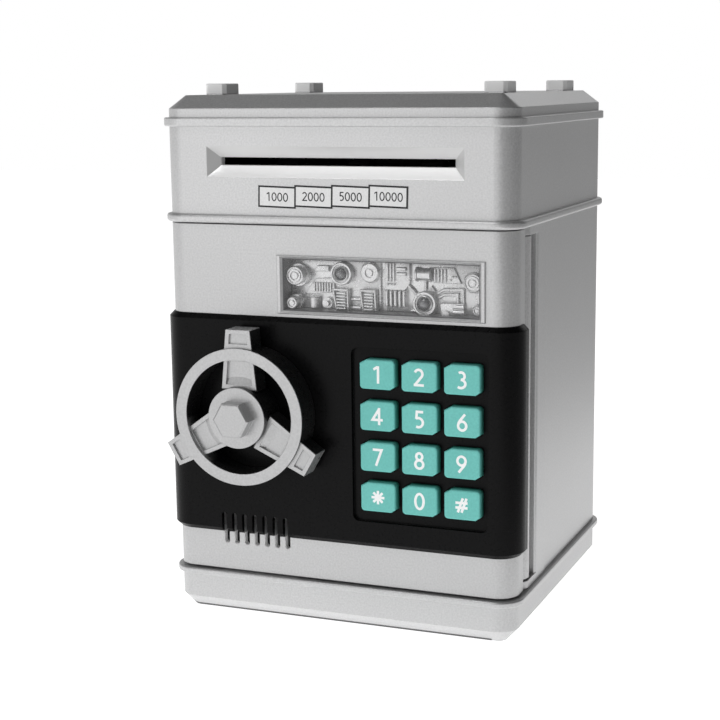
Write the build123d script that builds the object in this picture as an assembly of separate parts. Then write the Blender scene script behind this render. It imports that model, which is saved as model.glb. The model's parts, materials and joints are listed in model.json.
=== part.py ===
from build123d import *
import os
from math import atan2, cos, degrees, pi, radians, sin, sqrt, tan

# Toy cash-machine savings bank. Millimetres, +Z up, X to the right, Y to the back.
# The origin is on the table, under the middle of the case; the door faces -Y.

# ---- case -------------------------------------------------------------------
WIDTH = 131.8
DEPTH = 120.0
CORNER_R = 7.5
WALL = 2.4
FIT = 0.2

HALF_W = WIDTH / 2
FRONT = -DEPTH / 2

BASE_CHAMFER_Z = 4.8
BASE_CHAMFER_IN = 4.4
BASE_RIM_Z = 13.7
BASE_TOP = 16.1
RIM_OUT = 1.85
MID_Z = 145.1
MID_RIM_TOP = 148.1
TOP_RIM_Z = 179.15
TOP_RIM_TOP = 182.2
LID_Z = 185.3
TOP_Z = 190.0
LID_CHAMFER_IN = 6.15

BLOCK_X = 53.3
BLOCK_W = 8.4
BLOCK_D = 12.0
BLOCK_H = 4.0
BLOCK_FRONTS = (-42.4, 35.5)

# ---- screw columns in the four corners of the case ---------------------------
COLUMN_R = 3.8
COLUMNS = [(x, y) for x in (-57.0, 57.0) for y in (-29.0, 50.0)]
SCREW_R = 1.25
SCREW_CLEAR_R = 1.5
SCREW_HEAD_R = 2.5
SCREW_HEAD_H = 1.7
CASE_SCREW_LEN = 23.0
COUNTERBORE = 3.0

# ---- battery bay under the cash floor ----------------------------------------
BAY_W = 46.0
BAY_Y = (-21.0, 37.0)
BAY_TOP = 16.8
BAY_WALL = 1.6
CELL_R = 7.1
CELL_LEN = 49.5
CELL_PITCH = 14.9
CELL_Z = 9.3
COVER_T = 1.6
COVER_TAB = 5.0
CASH_FLOOR_Z = (14.0, 16.0)
FOOT_R = 6.0
FOOT_T = 1.2
FEET = [(x, y) for x in (-48.0, 48.0) for y in (-44.0, 42.0)]

# ---- door --------------------------------------------------------------------
DOOR_Z = (16.9, 144.6)
DOOR_BACK = -48.0
DOOR_INNER_FRONT = FRONT + WALL
INNER_COVER_T = 2.0
INNER_COVER_FRONT = DOOR_BACK - INNER_COVER_T
HINGE_X = 60.0
HINGE_Y = -41.0
PIN_R = 1.5
RUN_FIT = 0.05
BARREL_R = 5.8
BARREL_WEB = 3.4
BARREL_HOLLOW = 3.6
KNUCKLE_LEN = 10.0
LUG_R = 6.5
LUG_T = 3.0
LEFT_JAMB = (-47.5, -39.0)
RIGHT_JAMB = (-34.6, -21.0)
JAMB_X = 58.5
JAMB_LIP_X = 63.3
JAMB_REBATE = 3.1
JAMB_PROUD = 0.3

FASCIA_Z = (31.3, 112.3)
FASCIA_OUT = 2.0
FASCIA_CHAMFER = 1.7
FASCIA_BACK = -49.5

VENT_X = -31.8
VENT_Z = (26.8, 39.0)
VENT_PITCH = 4.1
VENT_W = 2.0
VENT_COUNT = 7

# ---- keypad ------------------------------------------------------------------
PAD_X = (7.2, 57.3)
PAD_Z = (40.7, 103.2)
PAD_FLOOR = -60.5
PAD_BOARD = 4.4
PAD_BACK = -58.9
KEY_X = (17.6, 33.1, 48.6)
KEY_Z = (94.3, 79.6, 65.0, 50.5)
KEY_NAMES = ("1", "2", "3", "4", "5", "6", "7", "8", "9", "star", "0", "hash")
KEY_W = 13.0
KEY_H = 10.5
KEY_FRONT = -64.0
KEY_EDGE_R = 0.6
KEY_TOP_CUT = (2.6, 1.4)
KEY_LOW_CUT = (1.8, 1.2)
KEY_FLANGE_Y = (-58.7, -57.9)
MAT_Y = (-56.3, -55.5)
BOARD_Y = (-55.5, -54.1)

# ---- window ------------------------------------------------------------------
WIN_X = 17.1
WIN_Z = 123.9
WIN_FRAME = (77.3, 20.9)
WIN_OPENING = (72.4, 17.9)
WIN_TUBE_WALL = 0.9
WIN_LIP_FRONT = -60.7
RELIEF_Y = (-52.4, -51.0)
LENS_Y = (-59.6, -58.8)
LEDS = ((1.5, 128.0, 4.1, 2.5), (32.5, 118.7, 4.3, 2.7))

# ---- hand wheel and lock -----------------------------------------------------
WHEEL_X = -31.5
WHEEL_Z = 77.7
RING_R = 24.7
RING_INNER_R = 20.6
RING_FRONT = -73.7
WHEEL_BACK = -62.4
HUB_R = 10.9
HUB_FRONT = -75.2
HEX_AF = 12.0
HEX_FRONT = -80.0
FACE_T = 2.0
FACE_EDGE = 0.5
FACE_INSET = 0.8
HUB_T = 4.0
SPOKE_FRONT = -72.3
SPOKE_BORDER = 1.5
RECESS = 1.0
RAMP_RUN = 3.4
LUG_RECESS = 0.8
LUG_FRONT = SPOKE_FRONT - 0.2
LUG_END_R = 31.1
SPOKE_ANGLES = (90, 210, 330)
SHAFT_R = 3.0
LOCK_Y = (-45.5, -41.5)
LOCK_MODULE = 0.8
LOCK_TEETH = 12
BOLT_X = (-54.0, -6.0)
BOLT_Z = (83.5, 88.5)
BOLT_TRAVEL = LOCK_MODULE * LOCK_TEETH / 2 * pi / 2
PLUNGER_X = -21.0
PLUNGER_R = 1.6

# ---- note feeder -------------------------------------------------------------
SLOT_Z = 166.8
SLOT_W = 88.0
SLOT_H = 2.8
BEZEL_W = 96.5
BEZEL_H = 10.9
BEZEL_DEPTH = 3.4
BOSS_BACK = -54.0
LABEL_PLATE = (14.5, 7.6)
LABEL_PITCH = 13.93
LABEL_STEP = 0.27
LABEL_TILT = 1.6
LABEL_Z = 155.1
CHASSIS_Z = (148.5, 150.5)
CHEEK_X = (46.0, 48.0)
FEED_Y = -32.0
DRIVE_Z = 161.65
DRIVE_R = 5.0
IDLER_Z = 170.95
IDLER_R = 4.0
FEED_SHAFT_R = 1.5
ROLLER_X = (-28.0, 0.0, 28.0)
ROLLER_W = 8.0
FEED_MODULE = 0.8
FEED_TEETH = 23
MOTOR_TEETH = 10
MESH_SLACK = 0.05
MOTOR_Y = -44.0
MOTOR_Z = DRIVE_Z - sqrt((FEED_MODULE * (FEED_TEETH + MOTOR_TEETH) / 2 + MESH_SLACK) ** 2
                         - (MOTOR_Y - FEED_Y) ** 2)
GEAR_X = (50.0, 53.0)
DROP_X = 44.0
DROP_Y = (-26.0, -6.0)
CHUTE_Y = 5.0
CHUTE_IN = (31.6, 5.6)
CHUTE_WALL = 1.2
COIN_SLOT = (32.0, 4.6)
BOARD_TOP = (154.0, 155.6)


# ---- places that depend on more than one part ---------------------------------
BATTERY_SCREW = (0.0, BAY_Y[0] - 4.6)
CHASSIS_SCREWS = [(x, y) for x in (-61.5, 61.5) for y in (-50.0, 20.0)]
BOARD_POSTS = [(x, y) for x in (-46.0, 46.0) for y in (20.0, 46.0)]
DOOR_SCREWS = ((-58.5, 24.0), (-58.5, 76.0), (-58.5, 137.0), (-10.0, 106.0), (58.5, 32.4), (58.5, 124.0))
PAD_SCREWS = [(x, z) for x in (PAD_X[0] - 3.2, PAD_X[1] + 3.2) for z in (PAD_Z[0] + 4, PAD_Z[1] - 4)]
KNUCKLE_LOW = (BASE_TOP + LUG_T + 0.5, BASE_TOP + LUG_T + 0.5 + KNUCKLE_LEN)
KNUCKLE_HIGH = (MID_Z - LUG_T - 0.5 - KNUCKLE_LEN, MID_Z - LUG_T - 0.5)
SHAFT_FRONT = HUB_FRONT + HUB_T
MESH_ANGLE = degrees(atan2(DRIVE_Z - MOTOR_Z, FEED_Y - MOTOR_Y))


# ---- helpers -----------------------------------------------------------------
def block(x, y, z):
    """Box between the two limits given for each axis."""
    size = (x[1] - x[0], y[1] - y[0], z[1] - z[0])
    middle = ((x[0] + x[1]) / 2, (y[0] + y[1]) / 2, (z[0] + z[1]) / 2)
    return Pos(*middle) * Box(*size)


def body_prism(z, grow=0.0):
    """The case's rounded plan outline, grown or shrunk, between two heights."""
    outline = RectangleRounded(WIDTH + 2 * grow, DEPTH + 2 * grow, CORNER_R + grow)
    return Pos(0, 0, z[0]) * extrude(outline, z[1] - z[0])


def body_taper(z, grow_low, grow_high):
    """The case's plan outline, tapering between two heights."""
    outlines = []
    for height, grow in zip(z, (grow_low, grow_high)):
        radius = max(CORNER_R + grow, 1.2)
        outline = RectangleRounded(WIDTH + 2 * grow, DEPTH + 2 * grow, radius)
        outlines.append(Pos(0, 0, height) * outline)
    return loft(outlines)


def rim(z, out, edge):
    """Band round the case with softened edges."""
    band = body_prism(z, out)
    edges = band.edges()
    return fillet(edges.group_by(Axis.Z)[0] + edges.group_by(Axis.Z)[-1], edge)


def along_y(outline, y):
    """Prism whose outline is drawn with X to the right and Z up."""
    return Pos(0, y[1], 0) * extrude(Plane.XZ * outline, y[1] - y[0])


def along_x(outline, x):
    """Prism whose outline is drawn with Y to the right and Z up."""
    return Pos(x[0], 0, 0) * extrude(Plane.YZ * outline, x[1] - x[0])


def rod_y(x, z, radius, y):
    return along_y(Pos(x, z) * Circle(radius), y)


def rod_x(y, z, radius, x):
    return along_x(Pos(y, z) * Circle(radius), x)


def rod_z(x, y, radius, z):
    return Pos(x, y, z[0]) * extrude(Circle(radius), z[1] - z[0])


def gear_outline(teeth, module, phase=0.0):
    """Spur gear with straight flanks and a little backlash; one tooth centred at phase degrees."""
    pitch_r = teeth * module / 2
    root_r = pitch_r - 1.1 * module
    tip_r = pitch_r + 0.8 * module
    pitch_half = 0.225 * 2 * pi / teeth
    flank = tan(radians(20)) * module / pitch_r
    points = []
    for tooth in range(teeth):
        centre = radians(phase) + 2 * pi * tooth / teeth
        for side, radius, grow in ((-1, root_r, 1.1), (-1, tip_r, -0.8), (1, tip_r, -0.8), (1, root_r, 1.1)):
            angle = centre + side * (pitch_half + grow * flank)
            points.append((radius * cos(angle), radius * sin(angle)))
    return Polygon(*points, align=None)


def screw(radius, length, head_r, head_h):
    """Screw pointing down, with the underside of its cross-slotted head at the origin."""
    body = rod_z(0, 0, radius, (-length, 0)) + rod_z(0, 0, head_r, (0, head_h))
    slot = 0.5 * head_h
    for width, depth in ((0.7, 1.3 * head_r), (1.3 * head_r, 0.7)):
        body -= Pos(0, 0, head_h - slot / 2) * Box(width, depth, slot)
    return body


def wheel_place(shape, angle):
    """Turn a spoke drawn upright so that it points at the given angle from the wheel's centre."""
    return Pos(WHEEL_X, 0, WHEEL_Z) * Rot(0, 90 - angle, 0) * shape


# ---- case parts --------------------------------------------------------------
def base_tray():
    tray = body_taper((0, BASE_CHAMFER_Z), -BASE_CHAMFER_IN, 0) + body_prism((BASE_CHAMFER_Z, BASE_TOP))
    tray += rim((BASE_RIM_Z, BASE_TOP), RIM_OUT, 0.7)
    tray -= body_prism((WALL, 6.0), -5.4) + body_prism((6.0, BASE_TOP), -WALL)
    bay_x = BAY_W / 2
    tray += block((-bay_x - BAY_WALL, bay_x + BAY_WALL), (BAY_Y[0] - BAY_WALL, BAY_Y[1] + BAY_WALL),
                  (WALL, BAY_TOP + BAY_WALL))
    tray -= block((-bay_x, bay_x), BAY_Y, (0, BAY_TOP))
    lip = COVER_T - 0.4
    tray -= block((-bay_x - lip, bay_x + lip), (BAY_Y[0] - lip, BAY_Y[1] + lip), (0, COVER_T))
    for x, y in COLUMNS:
        side = HALF_W - WALL if x > 0 else -HALF_W + WALL
        tray += rod_z(x, y, COLUMN_R, (0.5, CASH_FLOOR_Z[0]))
        tray += block(sorted((x, side)), (y - 0.8, y + 0.8), (WALL, CASH_FLOOR_Z[0]))
        tray -= rod_z(x, y, SCREW_CLEAR_R, (0, CASH_FLOOR_Z[0]))
        tray -= rod_z(x, y, SCREW_HEAD_R + 0.3, (0, COUNTERBORE))
    for x, y in FEET:
        tray -= rod_z(x, y, FOOT_R, (0, FOOT_T))
    x, y = BATTERY_SCREW
    tray += rod_z(x, y, COLUMN_R, (WALL, WALL + 6))
    tray -= block((-COVER_TAB - FIT, COVER_TAB + FIT), (y - 3.4, BAY_Y[0]), (0, COVER_T))
    tray -= rod_z(x, y, SCREW_R, (COVER_T, WALL + 4))
    return tray


def battery_cover():
    half = BAY_W / 2 + COVER_T - 0.4 - FIT
    cover = block((-half, half), (BAY_Y[0] - 1.0, BAY_Y[1] + 1.0), (0, COVER_T))
    cover += block((-COVER_TAB, COVER_TAB), (BATTERY_SCREW[1] - 3.2, BAY_Y[0]), (0, COVER_T))
    for row in range(5):
        y = 22 + 2.4 * row
        cover -= block((-8, 8), (y, y + 1.1), (0, 0.5))
    cover -= rod_z(*BATTERY_SCREW, SCREW_CLEAR_R, (0, COVER_T))
    cover -= rod_z(*BATTERY_SCREW, SCREW_HEAD_R + 0.2, (0, 1.0))
    return cover


def battery_cell(index):
    """Standard pencil cell; the middle one lies the other way round."""
    x = (index - 1) * CELL_PITCH
    flip = -1 if index == 1 else 1
    middle = (BAY_Y[0] + BAY_Y[1]) / 2
    ends = sorted((middle - flip * CELL_LEN / 2, middle + flip * CELL_LEN / 2))
    cell = rod_y(x, CELL_Z, CELL_R, ends)
    cell = fillet(cell.edges().filter_by(GeomType.CIRCLE), 0.6)
    tip = middle + flip * CELL_LEN / 2
    return cell + rod_y(x, CELL_Z, 2.7, sorted((tip, tip + flip * 1.0)))


def battery_contacts():
    """Sprung contact at each cell's flat end and a plate at its raised end."""
    contacts = []
    middle = (BAY_Y[0] + BAY_Y[1]) / 2
    for index in range(3):
        x = (index - 1) * CELL_PITCH
        flip = -1 if index == 1 else 1
        for side in (-1, 1):
            wall = BAY_Y[0] if side < 0 else BAY_Y[1]
            plate = block((x - 5, x + 5), sorted((wall, wall - side * 0.5)), (CELL_Z - 5, CELL_Z + 5))
            reach = abs(wall - middle) - CELL_LEN / 2 - (1.0 if side == flip else 0.0)
            tip = wall - side * reach
            radius = 1.6 if side == flip else 3.2
            contacts.append(plate + rod_y(x, CELL_Z, radius, sorted((wall - side * 0.3, tip))))
    return Compound(children=contacts)


def rubber_feet():
    return Compound(children=[rod_z(x, y, FOOT_R, (0, FOOT_T)) for x, y in FEET])


def cash_floor():
    floor = body_prism(CASH_FLOOR_Z, -(WALL + FIT))
    gap = BAY_WALL + 0.3
    floor -= block((-BAY_W / 2 - gap, BAY_W / 2 + gap), (BAY_Y[0] - gap, BAY_Y[1] + gap), CASH_FLOOR_Z)
    for x, y in COLUMNS:
        floor -= rod_z(x, y, SCREW_CLEAR_R, CASH_FLOOR_Z)
    return floor


def hinge_lug(z):
    lug = rod_z(HINGE_X, HINGE_Y, LUG_R, z)
    lug += block((HINGE_X - LUG_R, HALF_W + JAMB_PROUD), (HINGE_Y, RIGHT_JAMB[0] + 2.5), z)
    lug &= body_prism(z, JAMB_PROUD)
    return lug - rod_z(HINGE_X, HINGE_Y, PIN_R, z)


def right_jamb():
    """Column beside the hinge: a rounded lip standing a little proud of the side, and a rebate inside it."""
    span = (BASE_TOP, MID_Z)
    jamb = block((JAMB_X, HALF_W + JAMB_PROUD), RIGHT_JAMB, span)
    jamb -= block((JAMB_X, JAMB_LIP_X), (RIGHT_JAMB[0], RIGHT_JAMB[0] + JAMB_REBATE), span)
    front = jamb.edges().filter_by(Axis.Z).sort_by(Axis.Y)[:2].sort_by(Axis.X)[-1]
    return fillet(front, 2.5)


def cabinet_shell():
    span = (BASE_TOP, MID_Z)
    shell = body_prism(span) - body_prism(span, -WALL)
    shell -= block((-70, 40), (FRONT - 1, LEFT_JAMB[0]), span)
    shell -= block((30, 70), (FRONT - 1, RIGHT_JAMB[0]), span)
    shell += block((-HALF_W, -59.5), LEFT_JAMB, span)
    shell += right_jamb()
    shell += hinge_lug((MID_Z - LUG_T, MID_Z)) + hinge_lug((BASE_TOP, BASE_TOP + LUG_T))
    for x, y in COLUMNS:
        side = HALF_W - WALL if x > 0 else -HALF_W + WALL
        column = rod_z(x, y, COLUMN_R, span) + block(sorted((x, side)), (y - 0.8, y + 0.8), span)
        shell += column
        shell -= rod_z(x, y, SCREW_R, (BASE_TOP, BASE_TOP + CASE_SCREW_LEN))
        shell -= rod_z(x, y, SCREW_R, (MID_Z - CASE_SCREW_LEN, MID_Z))
    pocket_y = (LOCK_Y[0] - 0.3, LOCK_Y[1] + 0.3)
    return shell - block((-62.9, -59.4), pocket_y, (BOLT_Z[0] - 0.4, BOLT_Z[1] + 0.4))


def strike_plate():
    """Steel plate on the latch-side jamb, with a window for the bolt."""
    plate = block((-59.5, -58.7), (LEFT_JAMB[0] + 0.3, LEFT_JAMB[1]), (BOLT_Z[0] - 8, BOLT_Z[1] + 8))
    pocket_y = (LOCK_Y[0] - 0.3, LOCK_Y[1] + 0.3)
    return plate - block((-59.6, -58.6), pocket_y, (BOLT_Z[0] - 0.4, BOLT_Z[1] + 0.4))


def bezel_outline(width, height, y):
    return Pos(0, y, 0) * (Plane.XZ * (Pos(0, SLOT_Z) * Rectangle(width, height)))


def upper_housing():
    housing = body_prism((MID_Z, LID_Z)) + rim((MID_Z, MID_RIM_TOP), RIM_OUT, 1.1)
    housing += rim((TOP_RIM_Z, TOP_RIM_TOP), RIM_OUT, 0.5)
    housing -= body_prism((MID_Z, LID_Z), -WALL)
    ledge = body_prism((MID_Z, CHASSIS_Z[0]), -WALL) - body_prism((MID_Z, CHASSIS_Z[0]), -6.0)
    for x, y in COLUMNS:
        ledge += rod_z(x, y, 4.2, (MID_Z, CHASSIS_Z[0]))
    for x, y in COLUMNS:
        ledge -= rod_z(x, y, SCREW_CLEAR_R, (MID_Z, CHASSIS_Z[0]))
        ledge -= rod_z(x, y, SCREW_HEAD_R + 0.3, (CHASSIS_Z[0] - SCREW_HEAD_H - 0.2, CHASSIS_Z[0]))
    for x, y in CHASSIS_SCREWS:
        ledge -= rod_z(x, y, 0.8, (MID_Z + 0.6, CHASSIS_Z[0]))
    housing += ledge
    boss_z = (SLOT_Z - BEZEL_H / 2 - 1.5, SLOT_Z + BEZEL_H / 2 + 1.5)
    housing += block((-BEZEL_W / 2 - 1.5, BEZEL_W / 2 + 1.5), (FRONT + 0.5, BOSS_BACK), boss_z)
    bevel = loft([bezel_outline(BEZEL_W, BEZEL_H, FRONT), bezel_outline(SLOT_W, SLOT_H, FRONT + BEZEL_DEPTH)])
    slot = block((-SLOT_W / 2, SLOT_W / 2), (FRONT, BOSS_BACK + 1), (SLOT_Z - SLOT_H / 2, SLOT_Z + SLOT_H / 2))
    return housing - bevel - slot


def denomination_label():
    """Four thin overlapping printed plates under the note slot."""
    label = None
    for index in range(4):
        x = LABEL_PITCH * (index - 1.5)
        z = LABEL_Z + LABEL_STEP * (index - 1.5)
        plate = Pos(x, z) * Rot(0, 0, -LABEL_TILT) * Rectangle(*LABEL_PLATE)
        label = plate if label is None else label + plate
    return along_y(label, (FRONT - 0.15, FRONT))


def top_cover():
    cover = body_taper((LID_Z, TOP_Z), 0, -LID_CHAMFER_IN)
    cover -= body_taper((LID_Z, TOP_Z - 2.2), -WALL, -WALL - 3.6)
    skirt = body_prism((LID_Z - 3.6, LID_Z + 0.8), -(WALL + 0.15))
    skirt -= body_prism((LID_Z - 3.6, LID_Z + 0.8), -(WALL + 1.75))
    cover += skirt
    for x in (-BLOCK_X, BLOCK_X):
        for y in BLOCK_FRONTS:
            stub = block((x - BLOCK_W / 2, x + BLOCK_W / 2), (y, y + BLOCK_D), (TOP_Z - 1.0, TOP_Z + BLOCK_H))
            stub = chamfer(stub.edges().filter_by(Axis.Z), 1.3)
            cover += fillet(stub.edges().group_by(Axis.Z)[-1], 0.5)
    slot_x = COIN_SLOT[0] / 2
    slot_y = (CHUTE_Y - COIN_SLOT[1] / 2, CHUTE_Y + COIN_SLOT[1] / 2)
    return cover - block((-slot_x, slot_x), slot_y, (TOP_Z - 4, TOP_Z + 1))


def case_screws():
    """Eight alike: four up through the tray, four down through the upper housing's ledge."""
    fastener = screw(SCREW_R, CASE_SCREW_LEN, SCREW_HEAD_R, SCREW_HEAD_H)
    top = CHASSIS_Z[0] - SCREW_HEAD_H - 0.2
    lower = [Pos(x, y, COUNTERBORE) * Rot(180, 0, 0) * fastener for x, y in COLUMNS]
    upper = [Pos(x, y, top) * fastener for x, y in COLUMNS]
    return Compound(children=lower + upper)


def small_screws():
    """Eight alike: four hold the feeder's plate and four the main board."""
    places = [(x, y, CHASSIS_Z[1]) for x, y in CHASSIS_SCREWS] + [(x, y, BOARD_TOP[1]) for x, y in BOARD_POSTS]
    return Compound(children=[Pos(*place) * screw(0.8, 4.0, 1.6, 1.1) for place in places])


def battery_screw():
    return Pos(*BATTERY_SCREW, 1.0) * Rot(180, 0, 0) * screw(SCREW_R, 4.6, SCREW_HEAD_R, 0.9)


def hinge_pin(z):
    pin = rod_z(HINGE_X, HINGE_Y, PIN_R, z)
    return chamfer(pin.edges().filter_by(GeomType.CIRCLE), 0.25)


# ---- door parts --------------------------------------------------------------
def vent_slots(y):
    slots = None
    height = VENT_Z[1] - VENT_Z[0]
    for index in range(VENT_COUNT):
        x = VENT_X + (index - (VENT_COUNT - 1) / 2) * VENT_PITCH
        slot = Pos(x, VENT_Z[0] + height / 2) * Rot(0, 0, 90) * SlotOverall(height, VENT_W)
        slots = slot if slots is None else slots + slot
    return along_y(slots, y)


def window_rectangle(size, grow=0.0):
    return Pos(WIN_X, WIN_Z) * Rectangle(size[0] + 2 * grow, size[1] + 2 * grow)


def pad_rectangle(grow, radius=2.5):
    middle = Pos((PAD_X[0] + PAD_X[1]) / 2, (PAD_Z[0] + PAD_Z[1]) / 2)
    return middle * RectangleRounded(PAD_X[1] - PAD_X[0] + 2 * grow, PAD_Z[1] - PAD_Z[0] + 2 * grow, radius)


def door_shell():
    """Open-backed pan: front panel with rounded corners and a flange all round."""
    span = (FRONT - 1, DOOR_BACK)
    shell = body_prism(DOOR_Z) & block((-70, 70), span, DOOR_Z)
    inner_z = (DOOR_Z[0] + 2.0, DOOR_Z[1] - 2.0)
    shell -= body_prism(inner_z, -WALL) & block((-70, 70), (FRONT, DOOR_BACK + 1), inner_z)
    shell += along_y(pad_rectangle(5.0), (DOOR_INNER_FRONT, MAT_Y[0]))
    shell -= along_y(pad_rectangle(1.4), (FRONT - 1, MAT_Y[0] + 1))
    shell -= along_y(window_rectangle(WIN_OPENING, WIN_TUBE_WALL + 0.1), (FRONT - 1, DOOR_INNER_FRONT + 1))
    shell -= rod_y(WHEEL_X, WHEEL_Z, SHAFT_R + 0.6, (FRONT - 1, DOOR_INNER_FRONT + 1))
    shell -= vent_slots((FRONT - 1, DOOR_INNER_FRONT + 1))
    for x, z in DOOR_SCREWS:
        shell += rod_y(x, z, 3.0, (DOOR_INNER_FRONT - 0.5, INNER_COVER_FRONT))
        shell -= rod_y(x, z, 0.9, (DOOR_INNER_FRONT, INNER_COVER_FRONT))
    for x, z in PAD_SCREWS:
        shell -= rod_y(x, z, 0.9, (DOOR_INNER_FRONT - 1, MAT_Y[0]))
    return shell


def door_fascia():
    """Black cover hugging the door's front and corners, with the keypad's recess in it."""
    skin = body_prism(FASCIA_Z, FASCIA_OUT)
    edges = skin.edges()
    skin = chamfer(edges.group_by(Axis.Z)[0] + edges.group_by(Axis.Z)[-1], FASCIA_CHAMFER)
    skin -= body_prism(FASCIA_Z)
    skin &= block((-70, 70), (FRONT - 5, FASCIA_BACK), FASCIA_Z)
    skin += along_y(pad_rectangle(1.2), (FRONT - 0.5, PAD_BACK))
    skin -= along_y(pad_rectangle(0.0), (FRONT - 5, PAD_FLOOR))
    for x in KEY_X:
        for z in KEY_Z:
            skin -= along_y(key_outline(x, z, FIT), (PAD_FLOOR - 1, PAD_BACK + 1))
    skin -= rod_y(WHEEL_X, WHEEL_Z, SHAFT_R + RUN_FIT, (FRONT - 5, FRONT + 1))
    return skin - vent_slots((FRONT - 5, FRONT))


def hinge_barrel(edge):
    """Round column along the door's hinge side, bored for a pin at each end and open inwards between them."""
    span = (KNUCKLE_LOW[0], KNUCKLE_HIGH[1])
    barrel = rod_z(HINGE_X, HINGE_Y, BARREL_R, span)
    barrel += block((HINGE_X - BARREL_WEB, edge), (INNER_COVER_FRONT, HINGE_Y), span)
    inside = (HINGE_Y - BARREL_HOLLOW, HINGE_Y + BARREL_HOLLOW)
    barrel -= block((HINGE_X - BARREL_R - 1, HINGE_X + BARREL_HOLLOW), inside, (KNUCKLE_LOW[1], KNUCKLE_HIGH[0]))
    for z in (KNUCKLE_LOW, KNUCKLE_HIGH):
        barrel -= rod_z(HINGE_X, HINGE_Y, PIN_R + RUN_FIT, z)
    return barrel


def door_inner_cover():
    """Back plate of the door, with the hinge barrel and the wheel shaft's bearing."""
    edge = HALF_W - WALL - FIT
    cover = along_y(Pos(0, sum(DOOR_Z) / 2) * RectangleRounded(2 * edge, DOOR_Z[1] - DOOR_Z[0] - 4.4, 2),
                    (INNER_COVER_FRONT, DOOR_BACK))
    cover += rod_y(WHEEL_X, WHEEL_Z, 5.5, (INNER_COVER_FRONT - 1, LOCK_Y[0] - 0.4))
    cover += hinge_barrel(edge)
    cover -= rod_y(WHEEL_X, WHEEL_Z, SHAFT_R + RUN_FIT, (INNER_COVER_FRONT - 2, LOCK_Y[0]))
    for x, z in DOOR_SCREWS:
        cover -= rod_y(x, z, 1.2, (INNER_COVER_FRONT, DOOR_BACK))
        cover -= rod_y(x, z, 2.3, (DOOR_BACK - 1.3, DOOR_BACK))
    return cover


def door_screws():
    """Ten alike: six hold the back plate and four the keypad's board."""
    places = [(x, DOOR_BACK - 1.3, z) for x, z in DOOR_SCREWS] + [(x, BOARD_Y[1], z) for x, z in PAD_SCREWS]
    return Compound(children=[Pos(*place) * Rot(-90, 0, 0) * screw(0.9, 4.2, 2.1, 1.2) for place in places])


def window_frame():
    lip = along_y(window_rectangle(WIN_FRAME), (WIN_LIP_FRONT, FRONT))
    lip = chamfer(lip.faces().sort_by(Axis.Y)[0].edges(), 0.3)
    frame = lip + along_y(window_rectangle(WIN_OPENING, WIN_TUBE_WALL), (FRONT, RELIEF_Y[1]))
    frame -= along_y(window_rectangle(WIN_OPENING), (WIN_LIP_FRONT - 1, RELIEF_Y[1]))
    wide = Pos(0, WIN_LIP_FRONT, 0) * (Plane.XZ * window_rectangle(WIN_OPENING, 1.1))
    narrow = Pos(0, LENS_Y[0], 0) * (Plane.XZ * window_rectangle(WIN_OPENING, 0.0))
    return frame - loft([wide, narrow])


def window_lens():
    return along_y(window_rectangle(WIN_OPENING, -0.05), LENS_Y)


def window_relief():
    """Decorative plate behind the lens: two lamp sockets, louvred blocks, buttons and a barrel."""
    relief = along_y(window_rectangle(WIN_OPENING, -0.05), RELIEF_Y)
    for x, z, ring_r, lamp_r in LEDS:
        relief += rod_y(x, z, ring_r, (-56.6, RELIEF_Y[0]))
        relief -= rod_y(x, z, lamp_r + 0.2, (-56.6, -53.4))
    for x, z, radius, front in ((-13.6, 125.9, 3.5, -58.0), (-15.0, 118.0, 2.2, -58.0), (7.4, 126.8, 3.3, -54.6)):
        relief += rod_y(x, z, radius, (front, RELIEF_Y[0]))
    for x, z in ((2.3, 119.3), (11.4, 119.6)):
        relief += block((x - 3.0, x + 3.0), (-56.0, RELIEF_Y[0]), (z - 3.6, z + 3.6))
    relief += block((16.0, 23.0), (-54.6, RELIEF_Y[0]), (118.2, 131.0))
    return relief & along_y(window_rectangle(WIN_OPENING, -0.05), (LENS_Y[1], RELIEF_Y[1]))


def window_leds():
    lamps = []
    for x, z, ring_r, lamp_r in LEDS:
        dome = Pos(x, -55.4, z) * Sphere(lamp_r) & block((x - 4, x + 4), (-60, -55.4), (z - 4, z + 4))
        lamps.append(rod_y(x, z, lamp_r, (-55.4, -53.4)) + dome)
    return Compound(children=lamps)


def speaker():
    z = 33.2
    body = rod_y(VENT_X, z, 13.0, (DOOR_INNER_FRONT, -55.2)) + rod_y(VENT_X, z, 9.5, (-55.2, -53.2))
    body += rod_y(VENT_X, z, 7.0, (-53.2, -50.6))
    return body - rod_y(VENT_X, z, 11.0, (DOOR_INNER_FRONT, DOOR_INNER_FRONT + 0.8))


def keypad_mat():
    """Rubber contact mat with one raised pad behind each key."""
    mat = along_y(pad_rectangle(PAD_BOARD), MAT_Y)
    for x in KEY_X:
        for z in KEY_Z:
            mat += rod_y(x, z, 3.0, (MAT_Y[0] - 0.3, MAT_Y[0]))
    for x, z in PAD_SCREWS:
        mat -= rod_y(x, z, 1.0, MAT_Y)
    return mat


def keypad_board():
    board = along_y(pad_rectangle(PAD_BOARD, 1.0), BOARD_Y)
    board += block((20, 30), (BOARD_Y[1], -52.6), (60, 70)) + block((38, 52), (BOARD_Y[1], -52.9), (84, 89))
    for x, z in PAD_SCREWS:
        board -= rod_y(x, z, 1.0, BOARD_Y)
    return board


def key_outline(x, z, grow=0.0):
    """Key plan: top left and bottom right corners cut, the other two rounded."""
    w = KEY_W / 2 + grow
    h = KEY_H / 2 + grow
    top_w, top_h = KEY_TOP_CUT
    low_w, low_h = KEY_LOW_CUT
    outline = Polygon((-w + top_w, h), (-w, h - top_h), (-w, -h), (w - low_w, -h), (w, -h + low_h), (w, h),
                      align=None)
    corners = [v for v in outline.vertices() if abs(abs(v.X) - w) < 1e-6 and abs(abs(v.Y) - h) < 1e-6]
    return Pos(x, z) * fillet(corners, 1.4)


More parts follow.
